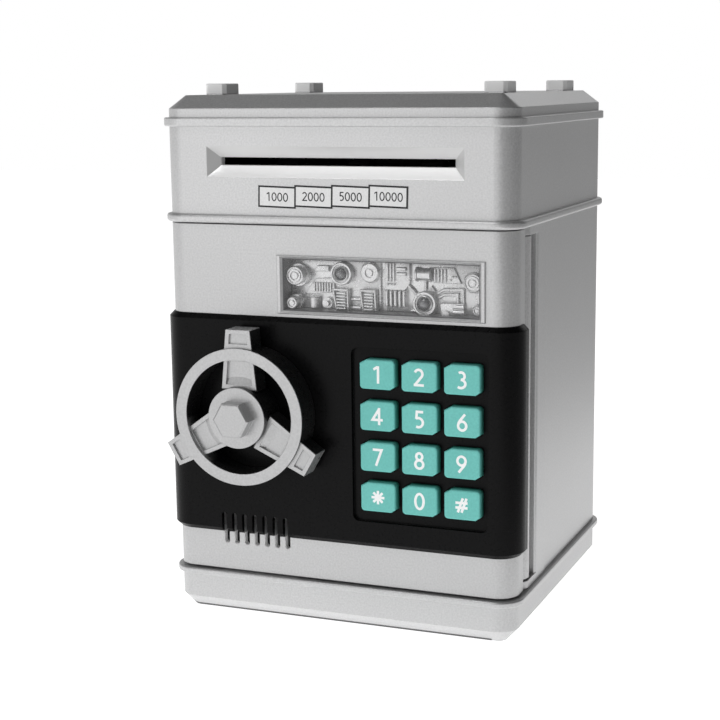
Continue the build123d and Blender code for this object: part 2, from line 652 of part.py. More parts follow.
def key(x, z):
    cap = along_y(key_outline(x, z), (KEY_FRONT, KEY_FLANGE_Y[0]))
    cap = fillet(cap.faces().sort_by(Axis.Y)[0].edges(), KEY_EDGE_R)
    flange = Pos(x, z) * RectangleRounded(KEY_W + 1.4, KEY_H + 1.4, 1.0)
    return cap + along_y(flange, KEY_FLANGE_Y)


# ---- hand wheel --------------------------------------------------------------
def spoke_outline(r0, r1, inset=0.0):
    """Tapered bar standing up from radius r0 to r1; it narrows towards its outer end."""
    def half(radius):
        return (13.3 - 0.198 * (radius - HUB_R)) / 2 - inset
    return Polygon((-half(r0), r0), (half(r0), r0), (half(r1), r1), (-half(r1), r1), align=None)


def spoke_panel():
    """Sunk panel in the front of a spoke."""
    outline = spoke_outline(HUB_R + 0.6, RING_INNER_R - 0.7, SPOKE_BORDER)
    return along_y(outline, (SPOKE_FRONT, SPOKE_FRONT + RECESS))


def lug_panel():
    """Sunk panel in the front of a lug."""
    outline = spoke_outline(RING_R + 1.4, LUG_END_R - 1.5, SPOKE_BORDER)
    return along_y(outline, (LUG_FRONT, LUG_FRONT + LUG_RECESS))


def wheel_body():
    """Black ring, hub and spokes standing on the panel, behind the silver front."""
    body = along_y(annulus(RING_R, RING_INNER_R), (RING_FRONT + FACE_EDGE, WHEEL_BACK))
    body += along_y(Circle(HUB_R), (HUB_FRONT + FACE_EDGE, WHEEL_BACK))
    body = Pos(WHEEL_X, 0, WHEEL_Z) * body
    for angle in SPOKE_ANGLES:
        spoke = along_y(spoke_outline(HUB_R - 1.5, RING_INNER_R + 1), (SPOKE_FRONT + FACE_EDGE, WHEEL_BACK - 2))
        lug = along_y(spoke_outline(RING_R - 1, LUG_END_R), (LUG_FRONT + FACE_EDGE, WHEEL_BACK - 2))
        bar = spoke + lug - spoke_panel() - lug_panel()
        body += wheel_place(bar, angle)
    return body - wheel_face() - rod_y(WHEEL_X, WHEEL_Z, SHAFT_R, (SHAFT_FRONT, WHEEL_BACK))


def annulus(outer, inner, inset=0.0):
    """Ring outline, or a disc where the inner radius is zero."""
    outline = Circle(outer - inset)
    return outline - Circle(inner + inset) if inner else outline


def face_layer(outline, front):
    """Silver front of one outline: a thin edge all round and a thicker core set in from it."""
    return along_y(outline(0.0), (front, front + FACE_EDGE)) + along_y(outline(FACE_INSET), (front, front + FACE_T))


def hub_ramp():
    """Cone that runs from the hub's edge down to the spokes' sunk panels."""
    low = Pos(0, SPOKE_FRONT + RECESS, 0) * (Plane.XZ * Circle(HUB_R + RAMP_RUN))
    high = Pos(0, SPOKE_FRONT, 0) * (Plane.XZ * Circle(HUB_R + 0.6))
    return loft([low, high])


def wheel_spoke():
    spoke = face_layer(lambda inset: spoke_outline(HUB_R - 1, RING_INNER_R + FACE_INSET + 0.5, inset), SPOKE_FRONT)
    return spoke - spoke_panel() + (hub_ramp() & spoke_panel())


def wheel_lug():
    lug = face_layer(lambda inset: spoke_outline(RING_R - FACE_INSET - 0.6, LUG_END_R - inset, inset), LUG_FRONT)
    return lug - lug_panel()


def wheel_face():
    """Silver front: ring, hub disc, spokes with sunk panels, lug pads and the hexagonal nut head."""
    face = face_layer(lambda inset: annulus(RING_R, RING_INNER_R, inset), RING_FRONT)
    face += along_y(Circle(HUB_R), (HUB_FRONT, HUB_FRONT + FACE_EDGE))
    face += along_y(Circle(HUB_R - FACE_INSET), (HUB_FRONT, HUB_FRONT + HUB_T))
    hexagon = along_y(RegularPolygon(HEX_AF / 2, 6, major_radius=False), (HEX_FRONT, HUB_FRONT))
    face += chamfer(hexagon.faces().sort_by(Axis.Y)[0].edges(), 0.6)
    face = Pos(WHEEL_X, 0, WHEEL_Z) * face
    for angle in SPOKE_ANGLES:
        face += wheel_place(wheel_spoke(), angle) + wheel_place(wheel_lug(), angle)
    return face


def wheel_shaft():
    """Steel shaft with a groove for its retaining ring behind the pinion."""
    groove = Circle(SHAFT_R) - Circle(SHAFT_R - 0.8)
    shaft = rod_y(WHEEL_X, WHEEL_Z, SHAFT_R, (SHAFT_FRONT, LOCK_Y[1] + 2.0))
    return shaft - Pos(WHEEL_X, 0, WHEEL_Z) * along_y(groove, (LOCK_Y[1] + 0.2, LOCK_Y[1] + 1.0))


def shaft_clip():
    """Open retaining ring in the shaft's groove."""
    ring = Circle(SHAFT_R + 2.0) - Circle(SHAFT_R - 0.8) - Pos(0, -3) * Rectangle(2.2, 6)
    return Pos(WHEEL_X, 0, WHEEL_Z) * along_y(ring, (LOCK_Y[1] + 0.2, LOCK_Y[1] + 0.9))


def lock_pinion():
    outline = gear_outline(LOCK_TEETH, LOCK_MODULE, 90) - Circle(SHAFT_R)
    return Pos(WHEEL_X, 0, WHEEL_Z) * along_y(outline, LOCK_Y)


# ---- lock on the back of the door ---------------------------------------------
def latch_bolt():
    """Sliding bar with a toothed rack under it and two notches on top for the lock plunger."""
    bar = block(BOLT_X, LOCK_Y, BOLT_Z)
    pitch = pi * LOCK_MODULE
    pitch_z = WHEEL_Z + LOCK_TEETH * LOCK_MODULE / 2
    for step in range(-2, 5):
        x = WHEEL_X + (step + 0.5) * pitch
        half = 0.225 * pitch
        flank = tan(radians(20)) * LOCK_MODULE
        top = (BOLT_Z[0] - pitch_z) / LOCK_MODULE
        tooth = Polygon((x - half + 0.7 * flank, pitch_z - 0.7 * LOCK_MODULE),
                        (x + half - 0.7 * flank, pitch_z - 0.7 * LOCK_MODULE),
                        (x + half + top * flank, BOLT_Z[0]), (x - half - top * flank, BOLT_Z[0]), align=None)
        bar += along_y(tooth, LOCK_Y)
    for x in (PLUNGER_X, PLUNGER_X + BOLT_TRAVEL):
        bar -= block((x - 2.0, x + 2.0), LOCK_Y, (BOLT_Z[1] - 2.0, BOLT_Z[1]))
    tip = bar.edges().filter_by(Axis.Y).sort_by(Axis.X)[:2]
    return chamfer(tip, 0.8)


def bolt_guides():
    """Two brackets on the door's back that the bolt slides through."""
    guides = []
    for x in ((-50.0, -46.0), (-17.0, -13.0)):
        guide = block(x, (DOOR_BACK, LOCK_Y[1] + 1.6), (BOLT_Z[0] - 2.4, BOLT_Z[1] + 2.4))
        guide -= block(x, (LOCK_Y[0] - RUN_FIT, LOCK_Y[1] + RUN_FIT), (BOLT_Z[0] - RUN_FIT, BOLT_Z[1] + RUN_FIT))
        guides.append(guide)
    return Compound(children=guides)


def lock_solenoid():
    """Coil in an open frame, fixed to the back of the door."""
    z = (93.0, 107.0)
    middle = sum(LOCK_Y) / 2
    frame = block((PLUNGER_X - 6, PLUNGER_X + 6), (DOOR_BACK, middle + 4.5), z)
    frame -= block((PLUNGER_X - 6, PLUNGER_X + 6), (DOOR_BACK + 1.2, middle + 4.5), (z[0] + 1.2, z[1] - 1.2))
    coil = rod_z(PLUNGER_X, middle, 4.0, (z[0] + 1.2, z[1] - 1.2))
    return frame + coil - rod_z(PLUNGER_X, middle, PLUNGER_R + RUN_FIT, (z[0], z[1] - 2.5))


def lock_plunger():
    return rod_z(PLUNGER_X, sum(LOCK_Y) / 2, PLUNGER_R, (BOLT_Z[1] + 0.7, 101.0))


# ---- note feeder and electronics ----------------------------------------------
def feeder_chassis():
    """Plate that closes the cash chamber, with the roller cheeks, the note tray and board posts."""
    chassis = body_prism(CHASSIS_Z, -(WALL + FIT))
    for side in (-1, 1):
        x = sorted((side * CHEEK_X[0], side * CHEEK_X[1]))
        chassis += block(x, (-50.0, -8.0), (CHASSIS_Z[0] + 1, 176.0))
    chassis += block((-CHEEK_X[0] - 0.5, CHEEK_X[0] + 0.5), (BOSS_BACK + 0.4, FEED_Y - 6), (163.6, 165.1))
    for x, y in BOARD_POSTS:
        chassis += rod_z(x, y, 2.4, (CHASSIS_Z[0] + 1, BOARD_TOP[0]))
        chassis -= rod_z(x, y, 0.8, (CHASSIS_Z[1], BOARD_TOP[0]))
    span = (-CHEEK_X[1] - 1, CHEEK_X[1] + 1)
    chassis -= rod_x(FEED_Y, DRIVE_Z, FEED_SHAFT_R + RUN_FIT, span)
    chassis -= rod_x(FEED_Y, IDLER_Z, FEED_SHAFT_R + RUN_FIT, span)
    chassis -= rod_x(MOTOR_Y, MOTOR_Z, 2.2, (CHEEK_X[0] - 1, CHEEK_X[1] + 1))
    chassis -= block((-DROP_X, DROP_X), DROP_Y, CHASSIS_Z)
    half_x = CHUTE_IN[0] / 2 + CHUTE_WALL + 0.1
    half_y = CHUTE_IN[1] / 2 + CHUTE_WALL + 0.1
    chassis -= block((-half_x, half_x), (CHUTE_Y - half_y, CHUTE_Y + half_y), CHASSIS_Z)
    for x, y in CHASSIS_SCREWS:
        chassis -= rod_z(x, y, 1.1, CHASSIS_Z)
    return chassis


def roller_shaft(z, x_end):
    """Steel shaft with a collar outside each cheek."""
    shaft = rod_x(FEED_Y, z, FEED_SHAFT_R, (-CHEEK_X[1] - 1.6, x_end))
    for x in (-CHEEK_X[1] - 1.2, CHEEK_X[1] + 0.2):
        shaft += rod_x(FEED_Y, z, 2.4, (x, x + 1.0))
    return shaft


def rollers(z, radius):
    sleeve = Circle(radius) - Circle(FEED_SHAFT_R)
    return Compound(children=[along_x(Pos(FEED_Y, z) * sleeve, (x - ROLLER_W / 2, x + ROLLER_W / 2))
                              for x in ROLLER_X])


def feed_gear():
    outline = gear_outline(FEED_TEETH, FEED_MODULE, MESH_ANGLE + 180) - Circle(FEED_SHAFT_R)
    return along_x(Pos(FEED_Y, DRIVE_Z) * outline, GEAR_X)


def motor_pinion():
    outline = gear_outline(MOTOR_TEETH, FEED_MODULE, MESH_ANGLE + 180 / MOTOR_TEETH)
    pinion = along_x(Pos(MOTOR_Y, MOTOR_Z) * outline, GEAR_X)
    return pinion + rod_x(MOTOR_Y, MOTOR_Z, 0.8, (CHEEK_X[0] - 6, GEAR_X[0]))


def feed_motor():
    z = (MOTOR_Z - 5, MOTOR_Z + 5)
    motor = block((31.0, CHEEK_X[0]), (MOTOR_Y - 6, MOTOR_Y + 6), z)
    motor = fillet(motor.edges().filter_by(Axis.X), 2.0)
    return motor - rod_x(MOTOR_Y, MOTOR_Z, 0.8 + RUN_FIT, (CHEEK_X[0] - 6.2, CHEEK_X[0]))


def note_sensor():
    """Optical sensor hanging over the note tray from the right cheek."""
    return block((39.0, CHEEK_X[0]), (-49.0, -43.0), (169.2, 173.2)) + \
        rod_z(42.0, -46.0, 1.6, (168.6, 170.0))


def coin_chute():
    x = CHUTE_IN[0] / 2
    y = CHUTE_IN[1] / 2
    z = (CHASSIS_Z[0], TOP_Z - 2.6)
    chute = block((-x - CHUTE_WALL, x + CHUTE_WALL), (CHUTE_Y - y - CHUTE_WALL, CHUTE_Y + y + CHUTE_WALL), z)
    return chute - block((-x, x), (CHUTE_Y - y, CHUTE_Y + y), z)


def main_board():
    board = block((-50, 50), (16, 50), BOARD_TOP)
    top = BOARD_TOP[1]
    board += block((-20, -6), (26, 40), (top, top + 1.8)) + block((10, 18), (28, 36), (top, top + 1.5))
    board += block((30, 44), (22, 27), (top, top + 6)) + block((-44, -32), (40, 45), (top, top + 6))
    for x in (24, 32, -28):
        board += rod_z(x, 42, 3.0, (top, top + 9))
    for x, y in BOARD_POSTS:
        board -= rod_z(x, y, 1.0, BOARD_TOP)
    return board


def all_parts():
    parts = {
        "base_tray": base_tray(), "battery_cover": battery_cover(), "battery_contacts": battery_contacts(),
        "rubber_feet": rubber_feet(), "cash_floor": cash_floor(), "cabinet_shell": cabinet_shell(),
        "strike_plate": strike_plate(), "upper_housing": upper_housing(),
        "denomination_label": denomination_label(), "top_cover": top_cover(),
        "case_screws": case_screws(), "small_screws": small_screws(), "battery_screw": battery_screw(),
        "batteries": Compound(children=[battery_cell(index) for index in range(3)]),
        "hinge_pin_lower": hinge_pin((BASE_TOP, KNUCKLE_LOW[1] - 1)),
        "hinge_pin_upper": hinge_pin((KNUCKLE_HIGH[0] + 1, MID_Z)),
        "door_shell": door_shell(), "door_fascia": door_fascia(), "door_inner_cover": door_inner_cover(),
        "door_screws": door_screws(), "window_frame": window_frame(), "window_lens": window_lens(),
        "window_relief": window_relief(), "window_leds": window_leds(), "speaker": speaker(),
        "keypad_mat": keypad_mat(), "keypad_board": keypad_board(),
        "bolt_guides": bolt_guides(), "lock_solenoid": lock_solenoid(), "lock_plunger": lock_plunger(),
        "latch_bolt": latch_bolt(), "wheel_body": wheel_body(), "wheel_face": wheel_face(),
        "wheel_shaft": wheel_shaft(), "shaft_clip": shaft_clip(), "lock_pinion": lock_pinion(),
        "feeder_chassis": feeder_chassis(), "drive_shaft": roller_shaft(DRIVE_Z, GEAR_X[1] + 1),
        "drive_rollers": rollers(DRIVE_Z, DRIVE_R), "feed_gear": feed_gear(),
        "idler_shaft": roller_shaft(IDLER_Z, CHEEK_X[1] + 1.6), "idler_rollers": rollers(IDLER_Z, IDLER_R),
        "feed_motor": feed_motor(), "motor_pinion": motor_pinion(), "note_sensor": note_sensor(),
        "coin_chute": coin_chute(), "main_board": main_board(),
    }
    for index, name in enumerate(KEY_NAMES):
        parts[f"key_{name}"] = key(KEY_X[index % 3], KEY_Z[index // 3])
    return parts


os.makedirs("parts", exist_ok=True)
for node, shape in all_parts().items():
    export_step(shape, f"parts/{node}.step")
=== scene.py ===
import json
from math import cos, pi, radians, sin

import bmesh
import bpy
from mathutils import Matrix, Vector

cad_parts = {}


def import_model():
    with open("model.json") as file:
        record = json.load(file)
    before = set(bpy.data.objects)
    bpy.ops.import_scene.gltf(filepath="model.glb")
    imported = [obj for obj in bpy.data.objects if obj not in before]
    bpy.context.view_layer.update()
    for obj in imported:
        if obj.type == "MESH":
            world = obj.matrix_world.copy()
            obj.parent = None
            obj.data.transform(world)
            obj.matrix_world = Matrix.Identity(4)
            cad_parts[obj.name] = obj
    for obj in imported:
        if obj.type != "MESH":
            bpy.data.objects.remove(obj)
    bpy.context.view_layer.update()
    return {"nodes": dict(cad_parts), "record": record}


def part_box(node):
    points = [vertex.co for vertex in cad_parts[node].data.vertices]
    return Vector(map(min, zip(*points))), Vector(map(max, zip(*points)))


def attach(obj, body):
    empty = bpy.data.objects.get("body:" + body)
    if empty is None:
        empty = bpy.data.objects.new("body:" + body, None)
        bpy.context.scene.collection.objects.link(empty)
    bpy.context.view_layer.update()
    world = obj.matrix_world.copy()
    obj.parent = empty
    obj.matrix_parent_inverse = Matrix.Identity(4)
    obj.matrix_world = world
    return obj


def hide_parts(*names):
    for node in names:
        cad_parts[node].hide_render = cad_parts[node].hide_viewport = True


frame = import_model()
MM = 0.001

# ---- places taken from the frame ------------------------------------------------
case_low, case_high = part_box("cabinet_shell")
HALF_W = -case_low.x
HALF_D = case_high.y
shaft_low, shaft_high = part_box("wheel_shaft")
WHEEL = Vector(((shaft_low.x + shaft_high.x) / 2, 0, (shaft_low.z + shaft_high.z) / 2))
door_low, door_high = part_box("door_shell")
speaker_low, speaker_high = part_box("speaker")
lens_low, lens_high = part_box("window_lens")
WINDOW = Vector(((lens_low.x + lens_high.x) / 2, lens_high.y, (lens_low.z + lens_high.z) / 2))
WINDOW_W = lens_high.x - lens_low.x
WINDOW_H = lens_high.z - lens_low.z
relief_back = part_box("window_relief")[1].y
label_low, label_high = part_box("denomination_label")


def lamp_boxes():
    """Lowest and highest corner of each of the two lamps, split at the window's middle."""
    points = [v.co for v in frame["nodes"]["window_leds"].data.vertices]
    boxes = []
    for side in (-1, 1):
        mine = [p for p in points if (p.x - WINDOW.x) * side > 0]
        low = Vector((min(p.x for p in mine), min(p.y for p in mine), min(p.z for p in mine)))
        high = Vector((max(p.x for p in mine), max(p.y for p in mine), max(p.z for p in mine)))
        boxes.append((low, high))
    return boxes


LAMPS = lamp_boxes()

# ---- camera and floor -----------------------------------------------------------
CAMERA_PLACE = Vector((214.765, -557.332, 194.069)) * MM
CAMERA_AZIMUTH = radians(21.603)
CAMERA_ELEVATION = radians(10.077)
CAMERA_ROLL = radians(-0.558)
SENSOR = 36.0
LENS = 78.15
SHIFT = (-0.0298, -0.0006)
FLOOR_HALF = 2.5
FLOOR_GLOW = 0.95
FLOOR_GLOW_RIGHT = 0.32

# ---- paint and plastic ----------------------------------------------------------
NOISE_SPAN = (0.3, 0.7)
DRIFT_SCALE = 22
DRIFT_SHARE = 0.25
ROUGH_SWING = 0.05
SILVER_METAL = 0.6
SILVER_ROUGH = 0.36
SILVER_DARK = (0.485, 0.485, 0.488)
SILVER_LIGHT = (0.60, 0.60, 0.603)
SILVER_GRAIN = 1500
SILVER_RELIEF = 0.012 * MM
SILVER_EDGE = 0.35 * MM
DOOR_SHADE = 0.94
BARE_PLASTIC = (0.035, 0.035, 0.037)
# Bare grey of the window frame's opening, set dark as painted shade.
FRAME_BARE_SHADE = (0.16, 0.16, 0.165)
BLACK_DARK = (0.0025, 0.0025, 0.0027)
BLACK_LIGHT = (0.0045, 0.0043, 0.0046)
BLACK_GRAIN = 900
BLACK_RELIEF = 0.004 * MM
BLACK_EDGE = 0.3 * MM

# ---- where one piece changes its colour -----------------------------------------
CASE_SKIN = (2.35 * MM, 2.3 * MM)
HOUSING_SKIN = (3.6 * MM, 3.5 * MM)
JAMB_X = 57 * MM
JAMB_Y = -20 * MM
BEZEL_HALF_W = 50 * MM
BEZEL_LOW = label_high.z + 0.6 * MM
BEZEL_HIGH = label_high.z + 14 * MM
BEZEL_FACING = 0.96
FRAME_MARGIN = 0.4 * MM
VENT_HALF_W = 16 * MM
LID_STUB_H = 3.6 * MM
BARREL_X = 56 * MM
BARREL_Y = door_high.y + 0.1 * MM
SPOKE_ANGLES = (90, 210, 330)
RING_INNER = 20.6 * MM
LUG_END = 30.85 * MM
BOARD_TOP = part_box("main_board")[0].z + 1.7 * MM
CELL_END = 23.6 * MM
CELL_BAND = 12 * MM

# ---- printed figures and label plates -------------------------------------------
KEYS = ("1", "2", "3", "4", "5", "6", "7", "8", "9", "star", "0", "hash")
LEGEND_H = 6.1 * MM
LEGEND_STROKE = 0.9 * MM
LEGEND_PROUD = 0.05 * MM
DENOMINATIONS = ("1000", "2000", "5000", "10000")
PLATE = (14.5 * MM, 7.6 * MM)
PLATE_PITCH = 13.93 * MM
PLATE_STEP = 0.27 * MM
PLATE_TILT = radians(-1.6)
PLATE_LINE = 0.3 * MM
PRINT_H = 3.1 * MM
PRINT_STROKE = 0.4 * MM
PRINT_PROUD = 0.02 * MM
PRINT_ADVANCE = 2.2 * MM
PRINT_SLOPE = 0.028
PRINT_SUNK = 0.02 * MM
STROKE_STEP = 0.003 * MM


# ---- materials ------------------------------------------------------------------
class Nodes:
    """A node tree, with short calls that add nodes to it and return their output."""

    def __init__(self, tree):
        self.nodes = tree.nodes
        self.links = tree.links

    def plug(self, node, socket, value):
        if isinstance(value, bpy.types.NodeSocket):
            self.links.new(value, node.inputs[socket])
        else:
            node.inputs[socket].default_value = value

    def math(self, operation, a, b=0.0):
        node = self.nodes.new("ShaderNodeMath")
        node.operation = operation
        self.plug(node, 0, a)
        self.plug(node, 1, b)
        return node.outputs[0]

    def axes(self, vector):
        node = self.nodes.new("ShaderNodeSeparateXYZ")
        self.plug(node, 0, vector)
        return node.outputs

    def spread(self, value, low, high, to_low=0.0, to_high=1.0, kind="LINEAR"):
        """The value stretched from one span to another, and held inside it."""
        node = self.nodes.new("ShaderNodeMapRange")
        node.interpolation_type = kind
        spans = {"From Min": low, "From Max": high, "To Min": to_low, "To Max": to_high}
        for socket, number in spans.items():
            self.plug(node, socket, number)
        self.plug(node, "Value", value)
        return node.outputs[0]

    def times(self, *factors):
        """Product of the values: of masks, the places that lie in all of them."""
        product = factors[0]
        for factor in factors[1:]:
            product = self.math("MULTIPLY", product, factor)
        return product

    def either(self, a, b):
        """The larger value: of masks, the places that lie in one of them."""
        return self.math("MAXIMUM", a, b)

    def above(self, value, limit):
        return self.math("GREATER_THAN", value, limit)

    def below(self, value, limit):
        return self.math("LESS_THAN", value, limit)

    def apart(self, value, middle):
        """Distance of the value from a middle, to either side."""
        return self.math("ABSOLUTE", self.math("SUBTRACT", value, middle))

    def near(self, value, middle, reach):
        """Mask of the places where the value is less than the reach from a middle."""
        return self.below(self.apart(value, middle), reach)

    def length(self, a, b):
        squares = self.math("ADD", self.math("POWER", a, 2.0), self.math("POWER", b, 2.0))
        return self.math("SQRT", squares)


class Paint(Nodes):
    """A Principled material, whose patterns and masks go by the place on the object."""

    def __init__(self, name, **values):
        self.material = bpy.data.materials.new(name)
        self.material.use_nodes = True
        super().__init__(self.material.node_tree)
        self.shader = self.nodes["Principled BSDF"]
        coordinates = self.nodes.new("ShaderNodeTexCoord")
        self.place = coordinates.outputs["Object"]
        self.normal = coordinates.outputs["Normal"]
        for socket, value in values.items():
            self.shader.inputs[socket.replace("_", " ")].default_value = value

    def feed(self, socket, value):
        self.links.new(value, self.shader.inputs[socket])

    def noise(self, scale, detail=2.0, stretch=(1, 1, 1)):
        mapping = self.nodes.new("ShaderNodeMapping")
        self.plug(mapping, "Vector", self.place)
        self.plug(mapping, "Scale", stretch)
        node = self.nodes.new("ShaderNodeTexNoise")
        self.plug(node, "Vector", mapping.outputs[0])
        self.plug(node, "Scale", scale)
        self.plug(node, "Detail", detail)
        return node.outputs[0]

    def fill(self, noise, low=0.0, high=1.0):
        """A noise's usual span stretched to the given one."""
        return self.spread(noise, *NOISE_SPAN, low, high)

    def mix(self, factor, first, second):
        """The first colour, and the second one where the factor is 1."""
        node = self.nodes.new("ShaderNodeMix")
        node.data_type = "RGBA"
        self.plug(node, 0, factor)
        for socket, colour in ((6, first), (7, second)):
            self.plug(node, socket, colour if isinstance(colour, bpy.types.NodeSocket) else (*colour, 1))
        return node.outputs[2]

    def bump(self, height, distance, strength=1.0, edge=0.0):
        """Surface relief from a height, on edges softened by the given radius."""
        node = self.nodes.new("ShaderNodeBump")
        self.plug(node, "Height", height)
        self.plug(node, "Distance", distance)
        self.plug(node, "Strength", strength)
        if edge:
            bevel = self.nodes.new("ShaderNodeBevel")
            bevel.samples = 6
            self.plug(bevel, "Radius", edge)
            self.plug(node, "Normal", bevel.outputs[0])
        self.feed("Normal", node.outputs[0])


def grainy(paint, dark, light, scale, rough, edge, depth=SILVER_RELIEF):
    """Fine speckle in colour, roughness and relief, with a slow drift of tone over it."""
    grain = paint.noise(scale, 3)
    drift = paint.noise(DRIFT_SCALE, 1)
    speckle = paint.mix(paint.fill(grain), dark, light)
    colour = paint.mix(paint.fill(drift, 0.0, DRIFT_SHARE), speckle, dark)
    paint.feed("Roughness", paint.fill(grain, rough - ROUGH_SWING, rough + ROUGH_SWING))
    paint.bump(grain, depth, 0.5, edge)
    return colour


def silver(paint, shade=1.0, edge=SILVER_EDGE):
    """Grain and colour of the metallic paint, times a shade."""
    dark = tuple(value * shade for value in SILVER_DARK)
    light = tuple(value * shade for value in SILVER_LIGHT)
    return grainy(paint, dark, light, SILVER_GRAIN, SILVER_ROUGH, edge)


def silver_paint():
    paint = Paint("silver_paint", Metallic=SILVER_METAL)
    paint.feed("Base Color", silver(paint))
    return paint.material


def part_silver(paint, other, metal_of_other):
    """Silver wherever the mask of the other colour is 0."""
    paint.feed("Metallic", paint.spread(other, 0.0, 1.0, SILVER_METAL, metal_of_other))


def moulded(paint, skin):
    """Silver on the skin, given in X and Y; further in, the moulding is bare, except at the hinge's jamb."""
    x, y, _ = paint.axes(paint.place)
    inside = paint.times(paint.near(x, 0.0, HALF_W - skin[0]), paint.near(y, 0.0, HALF_D - skin[1]))
    jamb = paint.times(paint.above(x, JAMB_X), paint.below(y, JAMB_Y))
    bare = paint.times(inside, paint.math("SUBTRACT", 1.0, jamb))
    part_silver(paint, bare, 0.0)
    return paint.mix(bare, silver(paint), BARE_PLASTIC)


def shell_paint(name, skin):
    paint = Paint(name)
    paint.feed("Base Color", moulded(paint, skin))
    return paint.material


def housing_paint():
    """The note slot's sloping sides carry a painted highlight: brighter than the case, and brightest on the
    lower slope, whose normal points up.
    """
    paint = Paint("housing_paint")
    colour = moulded(paint, HOUSING_SKIN)
    x, _, z = paint.axes(paint.place)
    _, facing, lift = paint.axes(paint.normal)
    height = paint.times(paint.above(z, BEZEL_LOW), paint.below(z, BEZEL_HIGH))
    slope = paint.times(paint.near(x, 0.0, BEZEL_HALF_W), paint.near(facing, 0.0, BEZEL_FACING), height)
    # Painted highlight: the slope's colour runs from 0.62 to 0.95 as its normal turns upward.
    tone = paint.mix(paint.spread(lift, 0.1, 0.3), (0.62, 0.62, 0.62), (0.95, 0.95, 0.95))
    paint.feed("Base Color", paint.mix(slope, colour, tone))
    return paint.material


def frame_paint():
    """Silver in front; inside the opening and on its edges the moulding is bare, its grey set dark as painted
    shade for the opening's walls and edge line.
    """
    paint = Paint("frame_paint")
    x, _, z = paint.axes(paint.place)
    bare = paint.times(paint.near(x, WINDOW.x, WINDOW_W / 2 + FRAME_MARGIN),
                       paint.near(z, WINDOW.z, WINDOW_H / 2 + FRAME_MARGIN))
    # Painted shade together with bare moulding: dark grey inside the opening and 0.4 mm round its edge.
    paint.feed("Base Color", paint.mix(bare, silver(paint, edge=0.0), FRAME_BARE_SHADE))
    part_silver(paint, bare, 0.2)
    return paint.material


def door_paint():
    """Silver a shade darker than the case, with a painted highlight on the walls of the vent slots."""
    paint = Paint("door_paint")
    x, y, z = paint.axes(paint.place)
    wall = paint.times(paint.near(x, (speaker_low.x + speaker_high.x) / 2, VENT_HALF_W),
                       paint.above(y, door_low.y + 0.1 * MM), paint.below(z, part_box("door_fascia")[0].z))
    # Painted highlight: the vent slots' walls are near white.
    paint.feed("Base Color", paint.mix(wall, silver(paint, DOOR_SHADE), (0.95, 0.95, 0.95)))
    part_silver(paint, wall, 0.1)
    return paint.material


def lid_paint():
    """Silver lid whose four small blocks carry a painted highlight in near white."""
    paint = Paint("lid_paint")
    block = paint.above(paint.axes(paint.place)[2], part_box("top_cover")[1].z - LID_STUB_H)
    # Painted highlight: the blocks above the lid's top less LID_STUB_H are near white.
    paint.feed("Base Color", paint.mix(block, silver(paint), (0.97, 0.97, 0.97)))
    part_silver(paint, block, 0.0)
    return paint.material


def black_plastic():
    paint = Paint("black_plastic", Specular_IOR_Level=0.09)
    colour = grainy(paint, BLACK_DARK, BLACK_LIGHT, BLACK_GRAIN, 0.30, BLACK_EDGE, BLACK_RELIEF)
    paint.feed("Base Color", colour)
    return paint.material


def hinge_plate():
    """Black back plate whose hinge barrel is painted silver."""
    paint = Paint("hinge_plate", Specular_IOR_Level=0.3)
    black = grainy(paint, BLACK_DARK, BLACK_LIGHT, BLACK_GRAIN, 0.36, BLACK_EDGE, BLACK_RELIEF)
    x, y, _ = paint.axes(paint.place)
    barrel = paint.times(paint.above(y, BARREL_Y), paint.above(x, BARREL_X))
    painted = paint.mix(paint.fill(paint.noise(SILVER_GRAIN, 3)), SILVER_DARK, SILVER_LIGHT)
    paint.feed("Base Color", paint.mix(barrel, black, painted))
    paint.feed("Metallic", paint.times(barrel, SILVER_METAL))
    return paint.material


def wheel_silver():
    """The wheel's paint, a shade darker and a little smoother than the case's."""
    paint = Paint("wheel_silver", Metallic=SILVER_METAL)
    dark, light = (0.42, 0.42, 0.423), (0.51, 0.51, 0.513)
    paint.feed("Base Color", grainy(paint, dark, light, SILVER_GRAIN, 0.33, 0.3 * MM))
    return paint.material


def wheel_black():
    """Black moulding, with silver overspray on the lugs' ends and beside the spokes' fronts."""
    paint = Paint("wheel_black", Specular_IOR_Level=0.6)
    dark, light = (0.011, 0.011, 0.0115), (0.017, 0.0168, 0.017)
    black = grainy(paint, dark, light, BLACK_GRAIN, 0.3, BLACK_EDGE, BLACK_RELIEF)
    x, y, z = paint.axes(paint.place)
    across = paint.math("SUBTRACT", x, WHEEL.x)
    up = paint.math("SUBTRACT", z, WHEEL.z)
    face_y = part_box("wheel_body")[0].y
    front = paint.spread(y, face_y + 1.0 * MM, face_y + 10.0 * MM, 0.85, 0.0)
    within = paint.below(paint.length(across, up), RING_INNER + 1.0 * MM)
    sprayed = 0.0
    for angle in SPOKE_ANGLES:
        c, s = cos(radians(angle)), sin(radians(angle))
        along = paint.math("ADD", paint.times(across, c), paint.times(up, s))
        aside = paint.apart(paint.times(up, c), paint.times(across, s))
        beside = paint.spread(aside, 5.2 * MM, 9.5 * MM, 1.0, 0.0)
        spoke = paint.times(beside, paint.above(along, RING_INNER - 2.0 * MM), within, front)
        sprayed = paint.either(paint.either(sprayed, spoke), paint.above(along, LUG_END))
    paint.feed("Base Color", paint.mix(sprayed, black, SILVER_DARK))
    paint.feed("Metallic", paint.times(sprayed, SILVER_METAL))
    return paint.material


def key_teal():
    """Moulded turquoise, with painted shade that darkens the sides of each key towards their base."""
    paint = Paint("key_teal", Specular_IOR_Level=0.4)
    colour = grainy(paint, (0.14, 0.53, 0.48), (0.175, 0.60, 0.55), 1300, 0.42, 0.25 * MM, BLACK_RELIEF)
    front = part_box("key_1")[0].y
    # Painted shade: the deeper along Y on a key's side, the darker green.
    low = paint.spread(paint.axes(paint.place)[1], front + 0.5 * MM, front + 3.2 * MM, 0.0, 0.75)
    paint.feed("Base Color", paint.mix(low, colour, (0.01, 0.17, 0.11)))
    return paint.material


